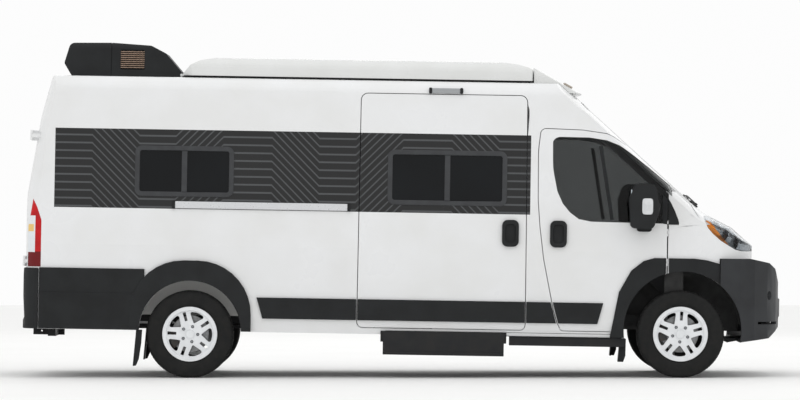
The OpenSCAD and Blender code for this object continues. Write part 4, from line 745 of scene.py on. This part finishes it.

# dark sheets of painted shade that close the view through the engine bay: ahead of the axle and height, from
# and to, then across
shadeSheets = {"house": (-0.52, 0.5, 0.42, 1.1, 0.56), "shut": (-0.135, 0.02, 0.72, 1.36, 0.905)}
for key, (x0, x1, z0, z1, across) in shadeSheets.items():
    x = frontX + np.linspace(x0, x1, 33)[None]
    z = np.linspace(z0, z1, 25)[:, None]
    sheet = onGrid(x, -across + 0.003 * np.sin(x * 40) * np.cos(z * 30), z)
    addPiece("painted_shade_sheet_" + key, bothSides(sheet), "pressedWheelHouseFelt", "body", "black_plastic", 60,
             sheetMm=3.0)

# mud flaps: a moulded flange along each outer edge, mm ahead of the axle and height
flaps = {"rear": (rearX, 1.023, [[-440, 362], [-390, 362], [-396, 250], [-414, 120], [-436, 66], [-464, 62]]),
         "front": (frontX, 0.96, [[-494, 352], [-446, 352], [-448, 210], [-466, 160], [-510, 160]])}
for key, (axle, across, outline) in flaps.items():
    rows, (x, z) = layered(outline, axle, ((0.97, -0.004), (1.0, -0.0025), (1.0, 0.0025), (0.97, 0.004)))
    flange = placed(rows, (x, -across, z), (1, 0, 0), (0, 0, 1))
    addPiece("mud_flap_flange_" + key, bothSides(flange), *blackTrim, 30)


def faceAt(nodeName, start, toward):
    # first point of a CAD node met by a ray, all in body coordinates
    bm = bmesh.new()
    bm.from_mesh(frame["nodes"][nodeName].data)
    hit = BVHTree.FromBMesh(bm).ray_cast(toRow(start).tolist(), toRow(toward).tolist())[0]
    bm.free()
    return toRow(np.array(hit), -1)


# rear doors: pull handle and a lamp rail over the bare plate place
rear = {"handle": (-0.085, 1.16), "handleSize": (0.06, 0.2), "gripLong": 0.15, "gripOut": 0.022,
        "plate": (0.4, 1.1), "railSize": (0.46, 0.046), "seated": 0.002}
behind = ((0, -1, 0), (0, 0, 1))
handleFace = faceAt("rear_door_right", (-4, *rear["handle"]), (1, 0, 0))
handleBase = plate(rear["handleSize"], 5, 48, 0.012, 0.005, 0.002)
t = np.linspace(0, 1, 20)
gripX = handleFace[0] - 0.01 - rear["gripOut"] * np.sin(np.pi * t) ** 0.6
grip = onGrid(gripX, handleFace[1] - 0.004, handleFace[2] + rear["gripLong"] * (t - 0.5))
handleGrids = [placed(handleBase, handleFace + [rear["seated"], 0, 0], *behind),
               swept(grip, 0.024, 0.014, 3, 16)]
addPiece("rear_door_handle", handleGrids, "mouldedBlackPolypropylene", "rear_door_right", "black_plastic", 40)
railFace = faceAt("rear_door_left", (-4, *rear["plate"]), (1, 0, 0))
railPlate = plate(rear["railSize"], 6, 64, 0.03, 0.012, 0.002)
railGrid = placed(railPlate, railFace + [rear["seated"], 0, 0], *behind)
addPiece("plate_lamp_rail", [railGrid], "mouldedBlackPolypropylene", "rear_door_left", "black_plastic", 40)

# porch lamp: dark end caps on its lens
porchFace = faceAt("roof_lamps", (porch["x"], -3, porch["z"]), (0, 1, 0))
endPlate = plate((0.026, 0.05), 4, 32, 0.012, 0.005, 0.002)
ends = [porchFace + [s * (porch["half"] - 0.01), 0.004, 0] for s in (-1, 1)]
endGrids = [placed(endPlate, place, (1, 0, 0), (0, wallLean, 1)) for place in ends]
addPiece("porch_lamp_ends", endGrids, *blackTrim, 40)

# entry step: rubber ribs along the tread
stepLow, stepHigh = [np.array(c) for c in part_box("entry_step")]
step = {"ribs": 9, "ribWide": 0.008, "ribHigh": 0.004, "inFrom": 0.02, "inTo": 0.18,
        "ends": 0.035, "middle": 0.3132}
x = np.linspace(stepLow[0] + step["ends"], stepHigh[0] - step["ends"], 24)
ribGrids = []
for y in np.linspace(stepLow[1] + step["inFrom"], stepLow[1] + step["inTo"], step["ribs"]):
    top = faceAt("entry_step", (step["middle"], y, 0.6), (0, 0, -1))[2]
    ribGrids.append(swept(onGrid(x, y, top + 0.001), step["ribWide"], step["ribHigh"], 4, 12))
addPiece("step_ribs", ribGrids, "extrudedSealRubber", "body", "rubber", 50)
print("rear and sides made")

# dashboard fittings: an arched instrument hood and a centre screen
dash = {"edge": (frontX - 0.255, 1.345), "wheelY": 0.46, "archHalf": 0.185, "archHigh": 0.062,
        "screen": (0.23, 0.13)}
dashX, dashZ = dash["edge"]
t = np.linspace(0, 1, 40)
archY = dash["wheelY"] + dash["archHalf"] * np.cos(np.pi * t)
arch = onGrid(dashX - 0.02, archY, dashZ - 0.004 + dash["archHigh"] * np.sin(np.pi * t) ** 0.7)
hoodGrid = swept(arch, 0.12, 0.014, 4, 24)
addPiece("instrument_hood", [hoodGrid], "slushMouldedDash", "body", "black_plastic", 45)
screenPlate = plate(dash["screen"], 9, 48, 0.014, 0.005, 0.0)
screenGrid = placed(screenPlate, (dashX - 0.01, 0.02, dashZ + 0.05), (0, -1, 0), (0.25, 0, 1))
addPiece("centre_screen", [screenGrid], "darkLampBezel", "body", "black_plastic", 45)

# seats: each pad is blown up by cloth simulation from a slightly smaller shape, then its seams are pressed in
seat = {"x": frontX - 0.8, "y": 0.46, "z": van["floor"], "voxel": 0.01, "cap": 0.022, "pressure": 4.0,
        "frames": 20, "seamDeep": 0.009, "seamWide": 0.011, "backLean": (-0.14, 0, 0.99)}


def padShape(loop, rows, bolster):
    # loops stacked by share and height; the outer part of the upper rows rises with the fourth power across
    share, rise = np.asarray(rows, float).T
    flat = loop[None] * share[:, None, None]
    lift = bolster * (np.abs(flat[..., :1]) / np.abs(loop).max(0)[0]) ** 4 * (rise > 0)[:, None, None]
    return np.concatenate([flat, rise[:, None, None] + lift], -1)


def blownPad(name, grid, seams):
    piece = addPiece(name, [grid], "wovenSeatCloth", "body", "seat_fabric", 80)
    piece.modifiers.new("skin", "REMESH").voxel_size = seat["voxel"]
    mesh = bpy.data.meshes.new_from_object(piece.evaluated_get(bpy.context.evaluated_depsgraph_get()))
    piece.modifiers.clear()
    piece.data = mesh
    p = pointsOf(mesh)
    cloth = piece.modifiers.new("fill", "CLOTH")
    cloth.settings.use_pressure = True
    cloth.settings.uniform_pressure_force = seat["pressure"]
    cloth.settings.effector_weights.gravity = 0.0
    cloth.point_cache.frame_start, cloth.point_cache.frame_end = 1, seat["frames"]
    for f in range(1, seat["frames"] + 1):
        bpy.context.scene.frame_set(f)
    moved = pointsOf(piece.evaluated_get(bpy.context.evaluated_depsgraph_get()).data) - p
    piece.modifiers.clear()
    bpy.context.scene.frame_set(1)
    length = np.linalg.norm(moved, axis=1, keepdims=True)
    p = p + moved * np.minimum(1, seat["cap"] / np.maximum(length, 1e-9))
    mesh.vertices.foreach_set("co", p.ravel())
    mesh.update()
    # seams: grooves as bell curves about lines across or along the pad, pressed along the normal
    inBody = toRow(p, -1)
    apart = [np.abs(inBody[:, axis] - mid) - at for axis, mid, at in seams]
    depth = seat["seamDeep"] * sum(np.exp(-(a / seat["seamWide"]) ** 2) for a in apart)
    p = p - pointsOf(mesh, "normal") * depth[:, None]
    mesh.vertices.foreach_set("co", p.ravel())
    mesh.polygons.foreach_set("use_smooth", np.ones(len(mesh.polygons), bool))
    if not mesh.materials:
        mesh.materials.append(skin["wovenSeatCloth"])
    s = piece.modifiers.new("smooth", "SUBSURF")
    s.levels = s.render_levels = 1
    return piece


cushion = padShape(superLoop(0.46, 0.45, 6, 72), [
    (0.9, -0.052), (0.97, -0.044), (1, -0.015), (1, 0.015), (0.97, 0.035), (0.9, 0.044), (0.6, 0.046),
    (0.3, 0.044), (0.08, 0.043)], 0.018)
backrest = padShape(superLoop(0.44, 0.56, 5, 72), [
    (0.88, -0.042), (0.96, -0.034), (1, -0.012), (1, 0.012), (0.97, 0.03), (0.9, 0.038), (0.6, 0.04),
    (0.3, 0.038), (0.08, 0.037)], 0.02)
headPad = padShape(superLoop(0.23, 0.14, 4, 56), [
    (0.86, -0.034), (0.96, -0.026), (1, -0.008), (1, 0.008), (0.96, 0.024), (0.86, 0.031), (0.5, 0.033),
    (0.1, 0.033)], 0.0)
for sideName, flip in sides.items():
    at = np.array([seat["x"], -flip[1] * seat["y"], seat["z"]])
    cushionGrid = placed(cushion, at + [0.005, 0, 0.305], (0, 1, 0), (-1, 0, 0))
    backGrid = placed(backrest, at + [-0.2325, 0, 0.668], (0, 1, 0), seat["backLean"])
    headGrid = placed(headPad, at + [-0.29, 0, 1.085], (0, 1, 0), (-0.06, 0, 1))
    # each seam: axis it crosses, middle, distance either side
    pads = [blownPad("seat_cushion_" + sideName, cushionGrid, [(1, at[1], 0.14), (0, at[0], 0.06)]),
            blownPad("seat_back_" + sideName, backGrid, [(1, at[1], 0.135), (2, at[2] + 0.72, 0.0)]),
            blownPad("seat_headrest_" + sideName, headGrid, [(1, at[1], 0.075)])]
    base = plate((0.42, 0.38), 8, 48, 0.235, 0.01, 0.0)
    seatGrids = [placed(base, at + [0.01, 0, 0.002], (1, 0, 0), (0, 1, 0))]
    for y in (-0.07, 0.07):
        post = onGrid(at[0] - 0.285, at[1] + y, np.linspace(at[2] + 0.945, at[2] + 1.05, 8))
        seatGrids.append(swept(post, 0.014, 0.014, 2, 16))
    seatFrame = addPiece("seat_frame_" + sideName, seatGrids, "satinBlackSteel", "body", "dark_metal", 40)
    for piece in pads + [seatFrame]:
        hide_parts("seats")
print("seats made")

# camera square to the near side, far away as in the photo; pale floor and soft light
studio = {"eye": (-0.0375, -46.025, 1.463), "lens": 246.4, "sensor": 36.0, "clipEnd": 400, "aim": (0, 0, 1.2),
          "floor": dict(shades=("#f6f6f5", "#ececea"), cloud=(900, 0.15), rough=(0.7, 0.85)),
          "floorHalf": 30, "world": 0.98,
          "lights": {"overhead": ((0, -3, 9), (12, 8), 110), "side": ((-3, -14, 6), (14, 7), 30),
                     "back": ((2, 12, 7), (12, 6), 110)}}
scene = bpy.context.scene
camera = bpy.data.cameras.new("camera")
camera.lens, camera.sensor_width, camera.clip_end = studio["lens"], studio["sensor"], studio["clipEnd"]
eye = newObject("camera", camera)
eye.location, eye.rotation_euler = studio["eye"], (math.radians(90), 0, 0)
scene.camera = eye
scene.view_settings.view_transform = "Standard"
f = studio["floorHalf"]
floorMesh = bpy.data.meshes.new("floor_plane")
floorMesh.from_pydata([(-f, -f, 0), (f, -f, 0), (f, f, 0), (-f, f, 0)], [], [(0, 1, 2, 3)])
floorMesh.materials.append(newFinish("paintedStudioFloor", studio["floor"]))
floorPlane = newObject("studio_floor", floorMesh)
world = bpy.data.worlds.new("studio")
world.use_nodes = True
sky = world.node_tree.nodes["Background"]
sky.inputs["Color"].default_value = (1, 1, 1, 1)
sky.inputs["Strength"].default_value = studio["world"]
scene.world = world
for name, (place, size, power) in studio["lights"].items():
    light = bpy.data.lights.new(name, "AREA")
    light.shape, light.size, light.size_y, light.energy = "RECTANGLE", size[0], size[1], power
    holder = newObject(name, light)
    holder.location = place
    v = np.array(studio["aim"], float) - np.array(place, float)
    holder.rotation_euler = (math.acos(-v[2] / np.linalg.norm(v)), 0, math.atan2(-v[0], v[1]))
print("stage made")
